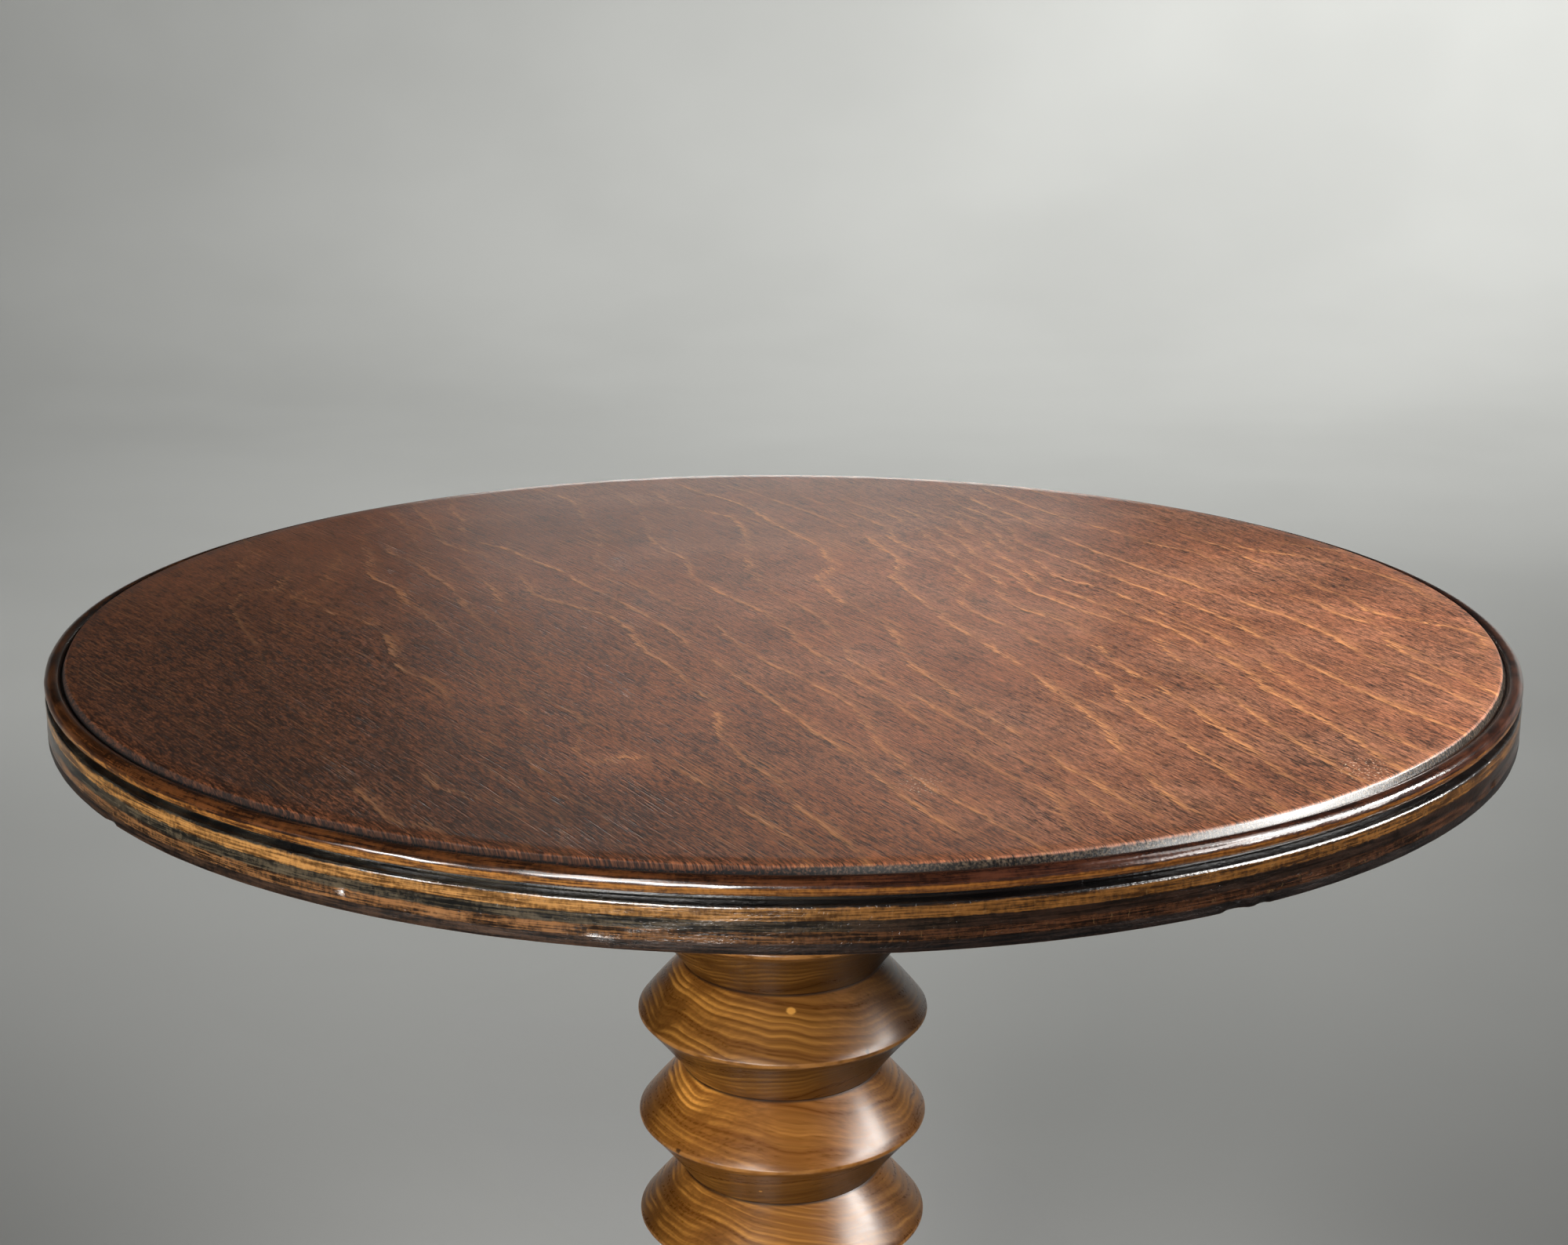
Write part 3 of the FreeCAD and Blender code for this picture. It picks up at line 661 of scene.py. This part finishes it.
class Shader:
    """Builds the node tree of one material. Lengths in it are millimetres in the object's own frame."""

    def __init__(self, name):
        self.material = bpy.data.materials.new(name)
        self.material.use_nodes = True
        self.tree = self.material.node_tree
        self.tree.nodes.clear()
        output = self.tree.nodes.new("ShaderNodeOutputMaterial")
        self.surface = self.tree.nodes.new("ShaderNodeBsdfPrincipled")
        self.tree.links.new(self.surface.outputs["BSDF"], output.inputs["Surface"])
        coordinates = self.tree.nodes.new("ShaderNodeTexCoord")
        scaled = self.tree.nodes.new("ShaderNodeVectorMath")
        scaled.operation = "SCALE"
        scaled.inputs["Scale"].default_value = 1 / MM
        self.tree.links.new(coordinates.outputs["Object"], scaled.inputs[0])
        parts = self.tree.nodes.new("ShaderNodeSeparateXYZ")
        self.tree.links.new(scaled.outputs[0], parts.inputs[0])
        self.x, self.y, self.z = (Value(self, parts.outputs[i]) for i in range(3))

    def feed(self, socket, value):
        if isinstance(value, Value):
            value = value.socket
        if isinstance(value, bpy.types.NodeSocket):
            self.tree.links.new(value, socket)
        else:
            socket.default_value = value

    def math(self, operation, *values):
        node = self.tree.nodes.new("ShaderNodeMath")
        node.operation = operation
        for socket, value in zip(node.inputs, values):
            self.feed(socket, value)
        return Value(self, node.outputs[0])

    def step(self, value, low, high):
        node = self.tree.nodes.new("ShaderNodeMapRange")
        node.interpolation_type = "SMOOTHSTEP"
        falling = low > high
        self.feed(node.inputs["Value"], value)
        self.feed(node.inputs["From Min"], min(low, high))
        self.feed(node.inputs["From Max"], max(low, high))
        self.feed(node.inputs["To Min"], 1.0 if falling else 0.0)
        self.feed(node.inputs["To Max"], 0.0 if falling else 1.0)
        return Value(self, node.outputs["Result"])

    def noise(self, x, y, z=0.0, detail=2.0, roughness=0.5, lift=0.0):
        """Smooth noise about 0.5, with features about one unit long. lift moves it to another part."""
        place = self.tree.nodes.new("ShaderNodeCombineXYZ")
        for socket, value in zip(place.inputs, (x, y, z + lift)):
            self.feed(socket, value)
        node = self.tree.nodes.new("ShaderNodeTexNoise")
        self.tree.links.new(place.outputs[0], node.inputs["Vector"])
        node.inputs["Scale"].default_value = 1.0
        node.inputs["Detail"].default_value = detail
        node.inputs["Roughness"].default_value = roughness
        return Value(self, node.outputs["Fac"])

    def spots(self, width, height=None, **kind):
        """Noise in the object's own frame, as wide as this, and as high where it varies with height."""
        z = 0.0 if height is None else self.z / height
        return self.noise(self.x / width, self.y / width, z, **kind)

    def cells(self, x, y):
        """Distance from the walls of random flat cells about one unit wide."""
        place = self.tree.nodes.new("ShaderNodeCombineXYZ")
        self.feed(place.inputs[0], x)
        self.feed(place.inputs[1], y)
        node = self.tree.nodes.new("ShaderNodeTexVoronoi")
        node.voronoi_dimensions = "2D"
        node.feature = "DISTANCE_TO_EDGE"
        self.tree.links.new(place.outputs[0], node.inputs["Vector"])
        node.inputs["Scale"].default_value = 1.0
        return Value(self, node.outputs["Distance"])

    def attribute(self, name):
        node = self.tree.nodes.new("ShaderNodeAttribute")
        node.attribute_name = name
        return Value(self, node.outputs["Fac"])

    def mix(self, share, one, two):
        node = self.tree.nodes.new("ShaderNodeMix")
        node.data_type = "RGBA"
        node.clamp_factor = True
        self.feed(node.inputs[0], share)
        self.feed(node.inputs[6], one)
        self.feed(node.inputs[7], two)
        return node.outputs[2]

    def tint(self, colour, factor):
        """A colour made lighter or darker by a factor that varies."""
        node = self.tree.nodes.new("ShaderNodeVectorMath")
        node.operation = "SCALE"
        self.feed(node.inputs[0], colour[:3] if isinstance(colour, tuple) else colour)
        self.feed(node.inputs["Scale"], factor)
        return node.outputs[0]

    def radius(self, x, y):
        return self.math("SQRT", x * x + y * y)

    def finish(self, colour, roughness, height, **constants):
        """Sets the surface. The height is in millimetres, and the constants are values of named sockets."""
        self.feed(self.surface.inputs["Base Color"], colour)
        self.feed(self.surface.inputs["Roughness"], roughness)
        bump = self.tree.nodes.new("ShaderNodeBump")
        bump.inputs["Strength"].default_value = 1.0
        bump.inputs["Distance"].default_value = MM
        self.feed(bump.inputs["Height"], height)
        self.tree.links.new(bump.outputs[0], self.surface.inputs["Normal"])
        for name, value in constants.items():
            self.surface.inputs[name].default_value = value
        return self.material


# Finishes

def growth_lines(s, a, c):
    """The pale and the dark side of the growth lines, frayed along the fibres."""
    level = s.attribute("figure_level")
    strips = s.noise(a / 16, c / 1.1, detail=1.0)
    shreds = s.noise(a / 5, c / 0.8, detail=1.0, lift=7.3)
    along = (strips - 0.5) * 19.0 + (shreds - 0.5) * 10.0
    frayed = s.attribute("figure_tilt") * along + (shreds - 0.5) * 2.8
    off = (level - s.math("ROUND", level)) / s.attribute("figure_slope") + frayed
    presence = s.noise(a / 22, c / 8.0, lift=3.1).step(0.36, 0.56)
    force = s.attribute("figure_strength") * (presence * 0.8 + 0.2)
    core = off.size().step(1.2, 0.3) * shreds.step(0.26, 0.44)
    feather = off.step(-0.1, 0.2) * off.step(7.0, 0.6) * shreds.step(0.46, 0.58)
    light = force * (core * 0.85 + feather * 0.5)
    shade = off.step(-2.4, -0.4) * off.step(0.05, -0.3) * force
    return light, shade


def scuffed_specks(s):
    near = [s.radius(s.x - x, (s.y - y) * 0.7).step(radius, radius * 0.3) for x, y, radius in SCUFFS]
    specks = s.noise(s.x / 0.7, s.y / 1.1, detail=0.0, lift=61.0).step(0.66, 0.76)
    return sum(near[1:], near[0]) * specks


def veneer_colour(s):
    """Colour, height in mm and specks of stained rotary cut veneer. a runs along its fibres, c across."""
    a = s.x * float(GRAIN[0]) + s.y * float(GRAIN[1])
    c = s.x * float(ACROSS[0]) + s.y * float(ACROSS[1]) + s.x * s.x * GRAIN_BEND
    c = c + s.noise(a / 60, c / 30, detail=1.0) * 2.5
    light, shade = growth_lines(s, a, c)
    # Uneven staining together with painted shade at the left of the face and painted light at its right
    stain_light_and_shade = s.attribute("stain_light_and_shade")
    speckle = s.noise(a / 3.2, c / 0.5, roughness=0.75, lift=5.5)
    dashes = s.noise(a / 16, c / 0.6, detail=1.0, lift=27.0)
    streaks = s.noise(a / 34, c / 2.4, detail=3.0, roughness=0.65, lift=11.7)
    clouds = s.noise(s.x / 9, s.y / 12, detail=4.0, roughness=0.75, lift=1.9)
    patches = s.noise(s.x / 45, s.y / 60, detail=4.0, roughness=0.65, lift=14.0)
    hair_place = s.spots(30, detail=1.0, lift=17.0)
    hairs = s.noise(a / 55, c / 0.6, detail=0.0, lift=21.0)
    bright_hair = hairs.step(0.66, 0.76) * hair_place.step(0.48, 0.6)
    dark_hair = hairs.step(0.34, 0.24) * hair_place.step(0.52, 0.4)
    pores = dashes.step(0.36, 0.26)
    grain = (speckle - 0.5) * 3.8 + (dashes - 0.5) * 0.9 + (streaks - 0.5) * 0.8
    lively = 1.0 + stain_light_and_shade * 1.1 * s.y.step(40.0, -80.0) + s.x.step(80.0, 220.0) * 0.5
    lively = lively - s.y.step(0.0, 120.0) * s.x.step(60.0, -60.0) * 0.35
    tone = 0.9 + grain * lively + (clouds - 0.5) * 1.0 + (patches - 0.5) * 1.1
    tone = tone - shade * 0.4 - dark_hair * 0.4 - pores * 0.2
    uneven_stain_light_and_shade = stain_light_and_shade * (0.4 + clouds * 0.6 + dashes * 0.6)
    tone = tone * (1.0 - uneven_stain_light_and_shade * 0.6)
    warm = s.noise(s.x / 60, s.y / 45, lift=13.0).step(0.35, 0.7)
    base = s.mix(warm, srgb(138, 85, 58), srgb(148, 98, 72))
    base = s.mix(stain_light_and_shade.step(0.0, 0.9), base, srgb(142, 85, 52))
    colour = s.tint(base, s.math("MAXIMUM", tone, 0.08))
    ripe = s.tint(srgb(214, 146, 92), 1.0 - stain_light_and_shade * 0.5)
    colour = s.mix(light, colour, ripe)
    colour = s.mix(bright_hair * 0.5, colour, ripe)
    colour = s.mix(scuffed_specks(s) * 0.8, colour, srgb(214, 196, 172))
    height = light * 0.02 - pores * 0.03 + (speckle - 0.5) * 0.04 + (dashes - 0.5) * 0.04 - dark_hair * 0.04
    return colour, height, speckle


# Bands of the moulded edge: depth from and to, then the dark and light wood at the left and at the right.
# The paler colours at the left are partly the wood and partly painted light from the left
RIM_BANDS = (
    (0.0, 3.9, (34, 18, 9), (92, 54, 27), (30, 15, 11), (70, 38, 24)),
    (3.9, 6.6, (60, 32, 14), (168, 114, 56), (74, 40, 15), (138, 88, 38)),
    (6.6, 9.1, (12, 14, 16), (62, 58, 50), (7, 6, 7), (24, 20, 19)),
    (9.1, 12.6, (74, 48, 22), (176, 128, 72), (48, 28, 12), (118, 78, 36)),
    (12.6, 15.7, (16, 16, 15), (84, 74, 58), (16, 10, 7), (44, 29, 21)),
    (15.7, 18.9, (26, 16, 10), (132, 92, 56), (16, 8, 5), (70, 42, 25)),
    (18.9, 22.5, (8, 7, 7), (62, 44, 32), (6, 4, 4), (30, 20, 16)),
)


def rim_marks(s, depth, hatch):
    """Pale ticks across the light plies, and dark cracks."""
    wobble = (hatch - 0.5) * 1.4
    x = s.x + wobble
    y = s.y + wobble
    present = s.spots(8, 1.6, lift=4.0)
    pale = depth.step(9.5, 10.0) * depth.step(12.6, 12.1) + depth.step(15.9, 16.4) * depth.step(18.8, 18.3)
    tick = s.cells(x / 6.0, y / 6.0).step(0.035, 0.0) * present.step(0.5, 0.6) * pale
    crack = s.cells(x / 1.9 + 31.0, y / 1.9).step(0.06, 0.0) * present.step(0.5, 0.36)
    return tick, crack


def rim_colour(s, high=0.0, low=TOP_THICKNESS):
    """Colour, height in mm and wear of the moulded edge between two depths."""
    warp = (s.spots(16, 6, detail=3.0, roughness=0.6, lift=40.0) - 0.5) * 1.1
    fray = (s.spots(2.5, 1.2, lift=44.0) - 0.5) * 0.9
    depth = TOP_Z - s.z + warp + fray
    streak = s.spots(22, 0.55, detail=4.0, roughness=0.7, lift=9.0)
    hatch = s.spots(1.3, 1.8, roughness=0.6, lift=16.0)
    blotch = s.spots(14, 2.5, detail=3.0, roughness=0.6, lift=17.0)
    fleck = s.spots(1.1, 0.6, detail=1.0, lift=23.0)
    body = ((streak - 0.5) * 3.0 + (hatch - 0.5) * 1.0 + (blotch - 0.5) * 1.6 + 0.45).step(0.0, 1.0)
    # Paler at the left and darker at the right: partly the wood's own tone, partly painted light from the
    # left
    left_paler_and_lit = (s.x + (blotch - 0.5) * 120.0).step(60.0, -70.0)
    colour = srgb(16, 13, 12)
    for top, bottom, *woods in RIM_BANDS:
        if bottom < high - 1.2 or top > low + 1.2:
            continue
        left_dark, left_light, right_dark, right_light = (srgb(*wood) for wood in woods)
        wood = s.mix(left_paler_and_lit, s.mix(body, right_dark, right_light), s.mix(body, left_dark, left_light))
        within = depth.step(top - 0.3, top + 0.3) * depth.step(bottom + 0.3, bottom - 0.3)
        colour = s.mix(within, colour, wood)
    tick, crack = rim_marks(s, depth, hatch)
    colour = s.mix(crack * 0.25, colour, srgb(16, 11, 9))
    colour = s.mix(tick * 0.07, colour, srgb(206, 168, 112))
    below_bead = depth.step(6.5, 9.5)
    flecked = below_bead * 0.05 + (1.0 - left_paler_and_lit) * 0.05
    rough = (streak - 0.5) * 0.06 + (hatch - 0.5) * 0.05 - crack * 0.03
    return colour, rough * below_bead + (fleck - 0.5) * flecked, blotch


def face_finish():
    s = Shader("stained_face_veneer")
    plain, plain_height, speckle = veneer_colour(s)
    edge, edge_height, blotch = rim_colour(s, 0.0, PLY_THICKNESS)
    r = s.radius(s.x, s.y)
    left = s.x.step(20.0, -40.0)
    ragged = r + (s.spots(1.5, lift=31.0) - 0.5) * 0.6
    slope = ragged.step(*FACE_END)
    border = (ragged - left * 0.7).step(*FACE_END)
    outer = r.step(*BEAD_START)
    scrape = s.spots(0.7, 0.7, lift=33.0)
    # At the right the edge is grey with pale flecks: partly a greyed scraped finish, partly a painted
    # reflection of the lamp on the right
    stained = s.mix(scrape.step(0.4, 0.75), srgb(16, 15, 14), srgb(88, 74, 60))
    bare = s.mix(scrape.step(0.5, 0.7), srgb(13, 8, 6), srgb(84, 45, 23))
    turn = (s.spots(40, lift=36.0) * 60.0 + s.x).step(10.0, 80.0)
    border_colour = s.mix(turn, bare, stained)
    # Painted shade: the deep part of the channel between the face and the bead is made almost black
    painted_quirk_shade = s.z.step(TOP_Z - 2.3, TOP_Z - 2.7)
    border_colour = s.mix(painted_quirk_shade * (1.0 - outer), border_colour, srgb(7, 6, 6))
    plain = s.tint(plain, 1.0 - slope * left * 0.6)
    colour = s.mix(border, plain, border_colour)
    colour = s.mix(outer, colour, edge)
    height = plain_height * (1.0 - border) + scrape * 0.03 * border * (1.0 - outer) + edge_height * outer
    face_sheen = 0.46 + (speckle - 0.5) * 0.2 + slope * (0.54 - s.x.step(-10.0, 60.0) * 0.74)
    bead_sheen = 0.17 + (blotch - 0.5) * 0.2
    sheen = face_sheen * (1.0 - outer) + bead_sheen * outer
    return s.finish(colour, sheen, height, **{"Specular IOR Level": 0.3})


def rim_finish(number):
    s = Shader(f"edge_of_ply_{number}")
    colour, height, blotch = rim_colour(s, (number - 1) * PLY_THICKNESS, number * PLY_THICKNESS)
    sheen = 0.2 + (blotch - 0.5) * 0.2
    return s.finish(colour, sheen, height, **{"Specular IOR Level": 0.7})


def underside_finish():
    """The lowest veneer: its edge as the rest of the rim, and a dull stained grain underneath."""
    s = Shader("underside_veneer")
    edge, edge_height, blotch = rim_colour(s, TOP_THICKNESS - PLY_THICKNESS)
    fibre = s.noise(s.x / 0.8, s.y / 24, s.z / 5, detail=3.0, roughness=0.6, lift=50.0)
    mottle = s.noise(s.x / 40, s.y / 60, detail=3.0, lift=53.0)
    plain = s.mix(fibre.step(0.3, 0.72), srgb(46, 27, 17), srgb(92, 58, 36))
    plain = s.tint(plain, 0.6 + mottle * 0.8)
    below = s.z.step(UNDERSIDE_Z + 0.5, UNDERSIDE_Z + 0.05)
    colour = s.mix(below, edge, plain)
    height = edge_height * (1.0 - below) + fibre * 0.12 * below
    sheen = 0.36 + (blotch - 0.5) * 0.2 + below * 0.24
    return s.finish(colour, sheen, height, **{"Specular IOR Level": 0.25})


# Stained softwood: the ground, the pale line of each yearly ring and the deeper clouds
COLUMN_WOOD = (srgb(98, 57, 17), srgb(176, 122, 54), srgb(88, 50, 15))
KNOT = srgb(36, 18, 8)
FILLER = srgb(206, 148, 70)
LEG_WOOD = (srgb(112, 68, 24), srgb(156, 106, 46), srgb(92, 53, 17))
# Small marks on the column: x, y, z, size, colour
COLUMN_MARKS = (
    (2.9, -40.2, 507.2, 1.9, FILLER),
    (29.9, -43.2, 493.5, 1.1, KNOT),
    (-37.2, -37.9, 451.9, 1.3, KNOT),
    (-7.7, -42.0, 437.8, 0.9, FILLER),
)
BEARER_WOOD = (srgb(98, 58, 24), srgb(128, 82, 38), srgb(84, 48, 18))


def wood_colour(s, rings, along, fine, spacing, ground, ridge, deep, share=0.7):
    """Stained softwood: uneven yearly rings, most with a pale line, fibres along the piece and clouds."""
    part = s.math("FRACT", rings / spacing)
    pale = part.step(0.05, 0.7) * part.step(1.0, 0.74)
    uneven = s.noise(rings / (spacing * 0.8), along / 140, fine / 50, roughness=0.6, lift=19.0)
    soft = s.noise(rings / 9, along / 40, fine / 12, detail=3.0, lift=3.0)
    fibre = s.noise(rings / 0.7, fine / 0.9, along / 16, lift=8.0)
    cloud = s.noise(rings / 14, fine / 22, along / 26, detail=3.0, lift=15.0)
    strength = (uneven.step(0.36, 0.62) + 0.2) * soft.step(0.3, 0.6) * share
    colour = s.mix(pale * strength + (uneven - 0.5) * 0.7 + 0.14, ground, ridge)
    colour = s.mix(cloud.step(0.4, 0.65) * 0.25, colour, deep)
    tone = 1.0 + (fibre - 0.5) * 0.8 + (uneven - 0.5) * 0.5 + (soft - 0.5) * 0.5
    return s.tint(colour, tone), uneven, fibre


def column_growth(s):
    """Distance from the pith, which wanders beside the column's axis, as uneven yearly rings."""
    bend_x = (s.noise(s.z / 170, 0.0, detail=1.0, lift=2.0) - 0.5) * 5.0
    bend_y = (s.noise(s.z / 190, 4.0, detail=1.0, lift=6.0) - 0.5) * 5.0
    wave = (s.spots(30, 50, detail=1.0, lift=1.0) - 0.5) * 6.0
    waver = (s.spots(11, 20, detail=1.0, lift=33.0) - 0.5) * 1.2
    rings = s.radius(s.x - 4.5 + bend_x, s.y - 1.0 + bend_y) + wave + waver
    return rings + (s.noise(rings / 5, 0.0, detail=1.0, lift=27.0) - 0.5) * 2.4


def column_painted_shade(s, ridged):
    """Painted shade on the column: darker under the ridges, at its left and right edges and on the first
    ridge, with painted light on the second ridge.
    """
    turn = s.math("FRACT", (s.z - LAST_NECK_Z) / RIDGE_PITCH)
    under = turn.step(0.52, 0.46) * turn.step(0.0, 0.04) * ridged
    underside_shade = 1.0 - under * (0.48 + s.x.step(5.0, 40.0) * 0.28)
    edge_shade = 1.0 - s.x.step(-30.0, -52.0) * 0.4 - s.x.step(22.0, 50.0) * 0.3
    # Painted shade on the first ridge under the top and painted light on the second ridge
    lit_second_ridge = s.z.step(484.0, 474.0) * s.z.step(436.0, 446.0)
    level = 1.0 - s.z.step(478.0, 488.0) * 0.2 + lit_second_ridge * 0.35
    return underside_shade * edge_shade * level


def column_finish():
    s = Shader("turned_column_wood")
    share = s.x.step(30.0, -25.0) * 0.45 + 0.3
    colour, uneven, fibre = wood_colour(s, column_growth(s), s.z, s.y, 1.95, *COLUMN_WOOD, share)
    ridged = s.z.step(BOSS_TOP_Z - 2.0, BOSS_TOP_Z + 2.0)
    # Painted shade and painted light on the column's colour
    colour = s.tint(colour, column_painted_shade(s, ridged))
    r = s.radius(s.x, s.y)
    # Painted shade: the creases at the necks between the ridges are darkened almost to black
    neck_crease_shade = r.step(NECK_RADIUS + 0.8, NECK_RADIUS + 0.1)
    worn = r.step(RIDGE_RADIUS - 0.35, RIDGE_RADIUS - 0.1) * s.spots(6, 3, lift=12.0).step(0.3, 0.6)
    colour = s.mix(neck_crease_shade * 0.85, colour, srgb(22, 10, 4))
    colour = s.mix(worn * ridged * 0.6, colour, srgb(160, 112, 62))
    for x, y, z, size, shade in COLUMN_MARKS:
        away = s.radius(s.radius(s.x - x, s.y - y), s.z - z)
        colour = s.mix((away + (fibre - 0.5) * size).step(size, size * 0.5) * 0.85, colour, shade)
    sheen = 0.34 + (fibre - 0.5) * 0.3 + (uneven - 0.5) * 0.4 + neck_crease_shade * 0.2
    height = uneven * 0.03 + (fibre - 0.5) * 0.03
    gloss = {"Specular IOR Level": 0.12, "Coat Weight": 0.25, "Coat Roughness": 0.28}
    return s.finish(colour, sheen, height, **gloss)


def leg_finish():
    s = Shader("leg_wood")
    run, fall = LEG_GRAIN
    along = s.x * run - s.z * fall
    rise = s.x * fall + s.z * run
    wave = (s.noise(along / 40, rise / 16, s.y / 16, lift=1.0) - 0.5) * 4.0
    rings = s.radius(s.y + 30.0, rise - 60.0) + wave
    colour, uneven, fibre = wood_colour(s, rings, along, s.y, 3.0, *LEG_WOOD)
    edge = s.y.size().step(15.0, 17.8) * 0.25
    colour = s.mix(edge, colour, srgb(158, 106, 56))
    colour = s.mix(s.z.step(26.0, 6.0) * 0.5, colour, srgb(60, 34, 16))
    sheen = 0.36 + (fibre - 0.5) * 0.2
    height = uneven * 0.03 + (fibre - 0.5) * 0.03
    return s.finish(colour, sheen, height, **{"Coat Weight": 0.3, "Coat Roughness": 0.3})


def bearer_finish():
    s = Shader("bearer_wood")
    wave = (s.noise(s.x / 60, s.y / 14, s.z / 14, lift=1.0) - 0.5) * 5.0
    rings = s.radius(s.y + 12.0, s.z - 560.0) + wave
    colour, uneven, fibre = wood_colour(s, rings, s.x, s.y, 4.2, *BEARER_WOOD)
    sheen = 0.5 + (fibre - 0.5) * 0.2
    return s.finish(colour, sheen, uneven * 0.04 + (fibre - 0.5) * 0.05)


def raw_wood_finish():
    s = Shader("bare_beech")
    fibre = s.spots(5, 0.5, lift=1.0)
    fleck = s.spots(1.2, 0.3, detail=1.0, lift=5.0).step(0.6, 0.72)
    colour = s.mix(fibre.step(0.3, 0.7), srgb(196, 158, 112), srgb(172, 130, 86))
    colour = s.mix(fleck * 0.5, colour, srgb(128, 88, 52))
    return s.finish(colour, 0.6 + (fibre - 0.5) * 0.2, fibre * 0.05)


def steel_finish(name, bright, dull, rust, roughness):
    s = Shader(name)
    cloud = s.spots(7, 7, detail=4.0, roughness=0.65, lift=2.0)
    scratch = s.noise(s.x / 6, s.y / 0.25, s.z / 3, detail=1.0, lift=6.0).step(0.62, 0.72)
    spots = s.spots(2.4, 2.4, detail=3.0, lift=9.0).step(0.6, 0.74)
    colour = s.mix(cloud.step(0.35, 0.65), dull, bright)
    colour = s.mix(spots * 0.5, colour, rust)
    sheen = roughness + (cloud - 0.5) * 0.3 - scratch * 0.1 + spots * 0.15
    return s.finish(colour, sheen, cloud * 0.04 - scratch * 0.02, Metallic=0.85)


def floor_finish():
    s = Shader("pale_floor")
    cloud = s.spots(900, detail=3.0, lift=2.0)
    fine = s.spots(6, lift=5.0)
    colour = s.mix(cloud.step(0.3, 0.7), srgb(196, 197, 196), srgb(204, 205, 204))
    colour = s.mix(s.z.step(WALL_FADE_FROM, WALL_FADE_TO), colour, srgb(62, 64, 64))
    return s.finish(colour, 0.8 + (fine - 0.5) * 0.1, fine * 0.05)


# The pieces

PLY_SLOTS = ("face_veneer", "light_core_veneer", "dark_core_veneer", "light_core_veneer", "dark_core_veneer",
             "light_core_veneer", "underside_veneer")


def ply_node(number):
    ending = {1: "_face", PLY_COUNT: "_underside"}.get(number, "")
    return f"top_ply_{number}{ending}"


def build_top():
    profile = rim_profile()
    for number, slot in enumerate(PLY_SLOTS, start=1):
        piece = make_piece(f"veneer_{number}", ply_rings(number, profile))
        if number == 1:
            figure_attributes(piece.data)
            material = face_finish()
        elif number == PLY_COUNT:
            material = underside_finish()
        else:
            material = rim_finish(number)
        piece.data.materials.append(material)
        declare(piece, slot, ply_node(number))


def build_stand():
    column = make_piece("turned_column", column_rings(), 24.0)
    column.data.materials.append(column_finish())
    declare(column, "turned_wood", "column")
    bearer = make_piece("bearer_block", bearer_rings())
    bearer.data.materials.append(bearer_finish())
    declare(bearer, "bearer_wood", "top_bearer")
    mesh = leg_mesh("tripod_leg")
    mesh.materials.append(leg_finish())
    for number, degrees in enumerate(LEG_ANGLES, start=1):
        leg = new_object(f"tripod_leg_{number}", mesh)
        leg.rotation_euler = (0, 0, math.radians(degrees))
        declare(leg, "leg_wood", f"leg_{number}")


def dress_fittings():
    """Procedural materials for the CAD parts that are shown as they are."""
    raw = raw_wood_finish()
    strap = steel_finish("strap_steel", srgb(70, 70, 72), srgb(44, 43, 43), srgb(80, 48, 30), 0.5)
    screw = steel_finish("screw_steel", srgb(150, 146, 138), srgb(96, 92, 86), srgb(86, 54, 34), 0.38)
    glide = steel_finish("glide_steel", srgb(176, 174, 168), srgb(120, 118, 112), srgb(90, 62, 42), 0.3)
    finishes = {
        "column_tenon_wedge": raw,
        "leg_dowels": raw,
        "tripod_strap": strap,
        "strap_screws": screw,
        "bearer_screws": screw,
        "foot_glide_1": glide,
        "foot_glide_2": glide,
        "foot_glide_3": glide,
    }
    for name, material in finishes.items():
        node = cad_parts[name]
        node.data.materials.clear()
        node.data.materials.append(material)


# Floor, light and camera

def build_floor():
    """A pale floor that sweeps up into a plain wall all round."""
    rings = Rings()
    rings.add(0, 0, 1)
    for radius in FLOOR_RINGS:
        rings.add(radius, 0, FLOOR_SEGMENTS)
    for x, z in arc_points((FLOOR_RADIUS, COVE_RADIUS), COVE_RADIUS, -90, 0, 20):
        rings.add(x, z, FLOOR_SEGMENTS)
    rings.add(FLOOR_RADIUS + COVE_RADIUS, WALL_HEIGHT, FLOOR_SEGMENTS)
    floor = make_piece("floor", rings, 60.0)
    floor.data.flip_normals()
    floor.data.materials.append(floor_finish())


def area_light(name, place, target, width, height, power, colour, spread, only_gloss):
    light = bpy.data.lights.new(name, "AREA")
    light.shape = "RECTANGLE"
    light.size = width
    light.size_y = height
    light.energy = power
    light.color = colour
    light.spread = math.radians(spread)
    lamp = new_object(name, light)
    lamp.location = place
    lamp.rotation_euler = (Vector(target) - Vector(place)).to_track_quat("-Z", "Y").to_euler()
    lamp.visible_camera = False
    lamp.visible_diffuse = not only_gloss


def build_light():
    world = bpy.data.worlds.new("studio")
    world.use_nodes = True
    background = world.node_tree.nodes["Background"]
    background.inputs["Color"].default_value = (1.0, 1.0, 0.97, 1.0)
    background.inputs["Strength"].default_value = WORLD_STRENGTH
    bpy.context.scene.world = world
    for row in LIGHTS:
        area_light(*row)


def build_camera():
    data = bpy.data.cameras.new("camera")
    data.sensor_fit = "HORIZONTAL"
    data.sensor_width = 36.0
    data.lens = CAMERA_LENS
    data.clip_start = 0.01
    data.clip_end = 100.0
    camera = new_object("camera", data)
    turn = Matrix.Rotation(math.radians(CAMERA_TILT), 4, "X") @ Matrix.Rotation(CAMERA_ROLL, 4, "Z")
    camera.matrix_world = Matrix.Translation(CAMERA_PLACE) @ turn
    bpy.context.scene.camera = camera


build_top()
build_stand()
dress_fittings()
build_floor()
build_light()
build_camera()
bpy.context.scene.view_settings.view_transform = "Standard"
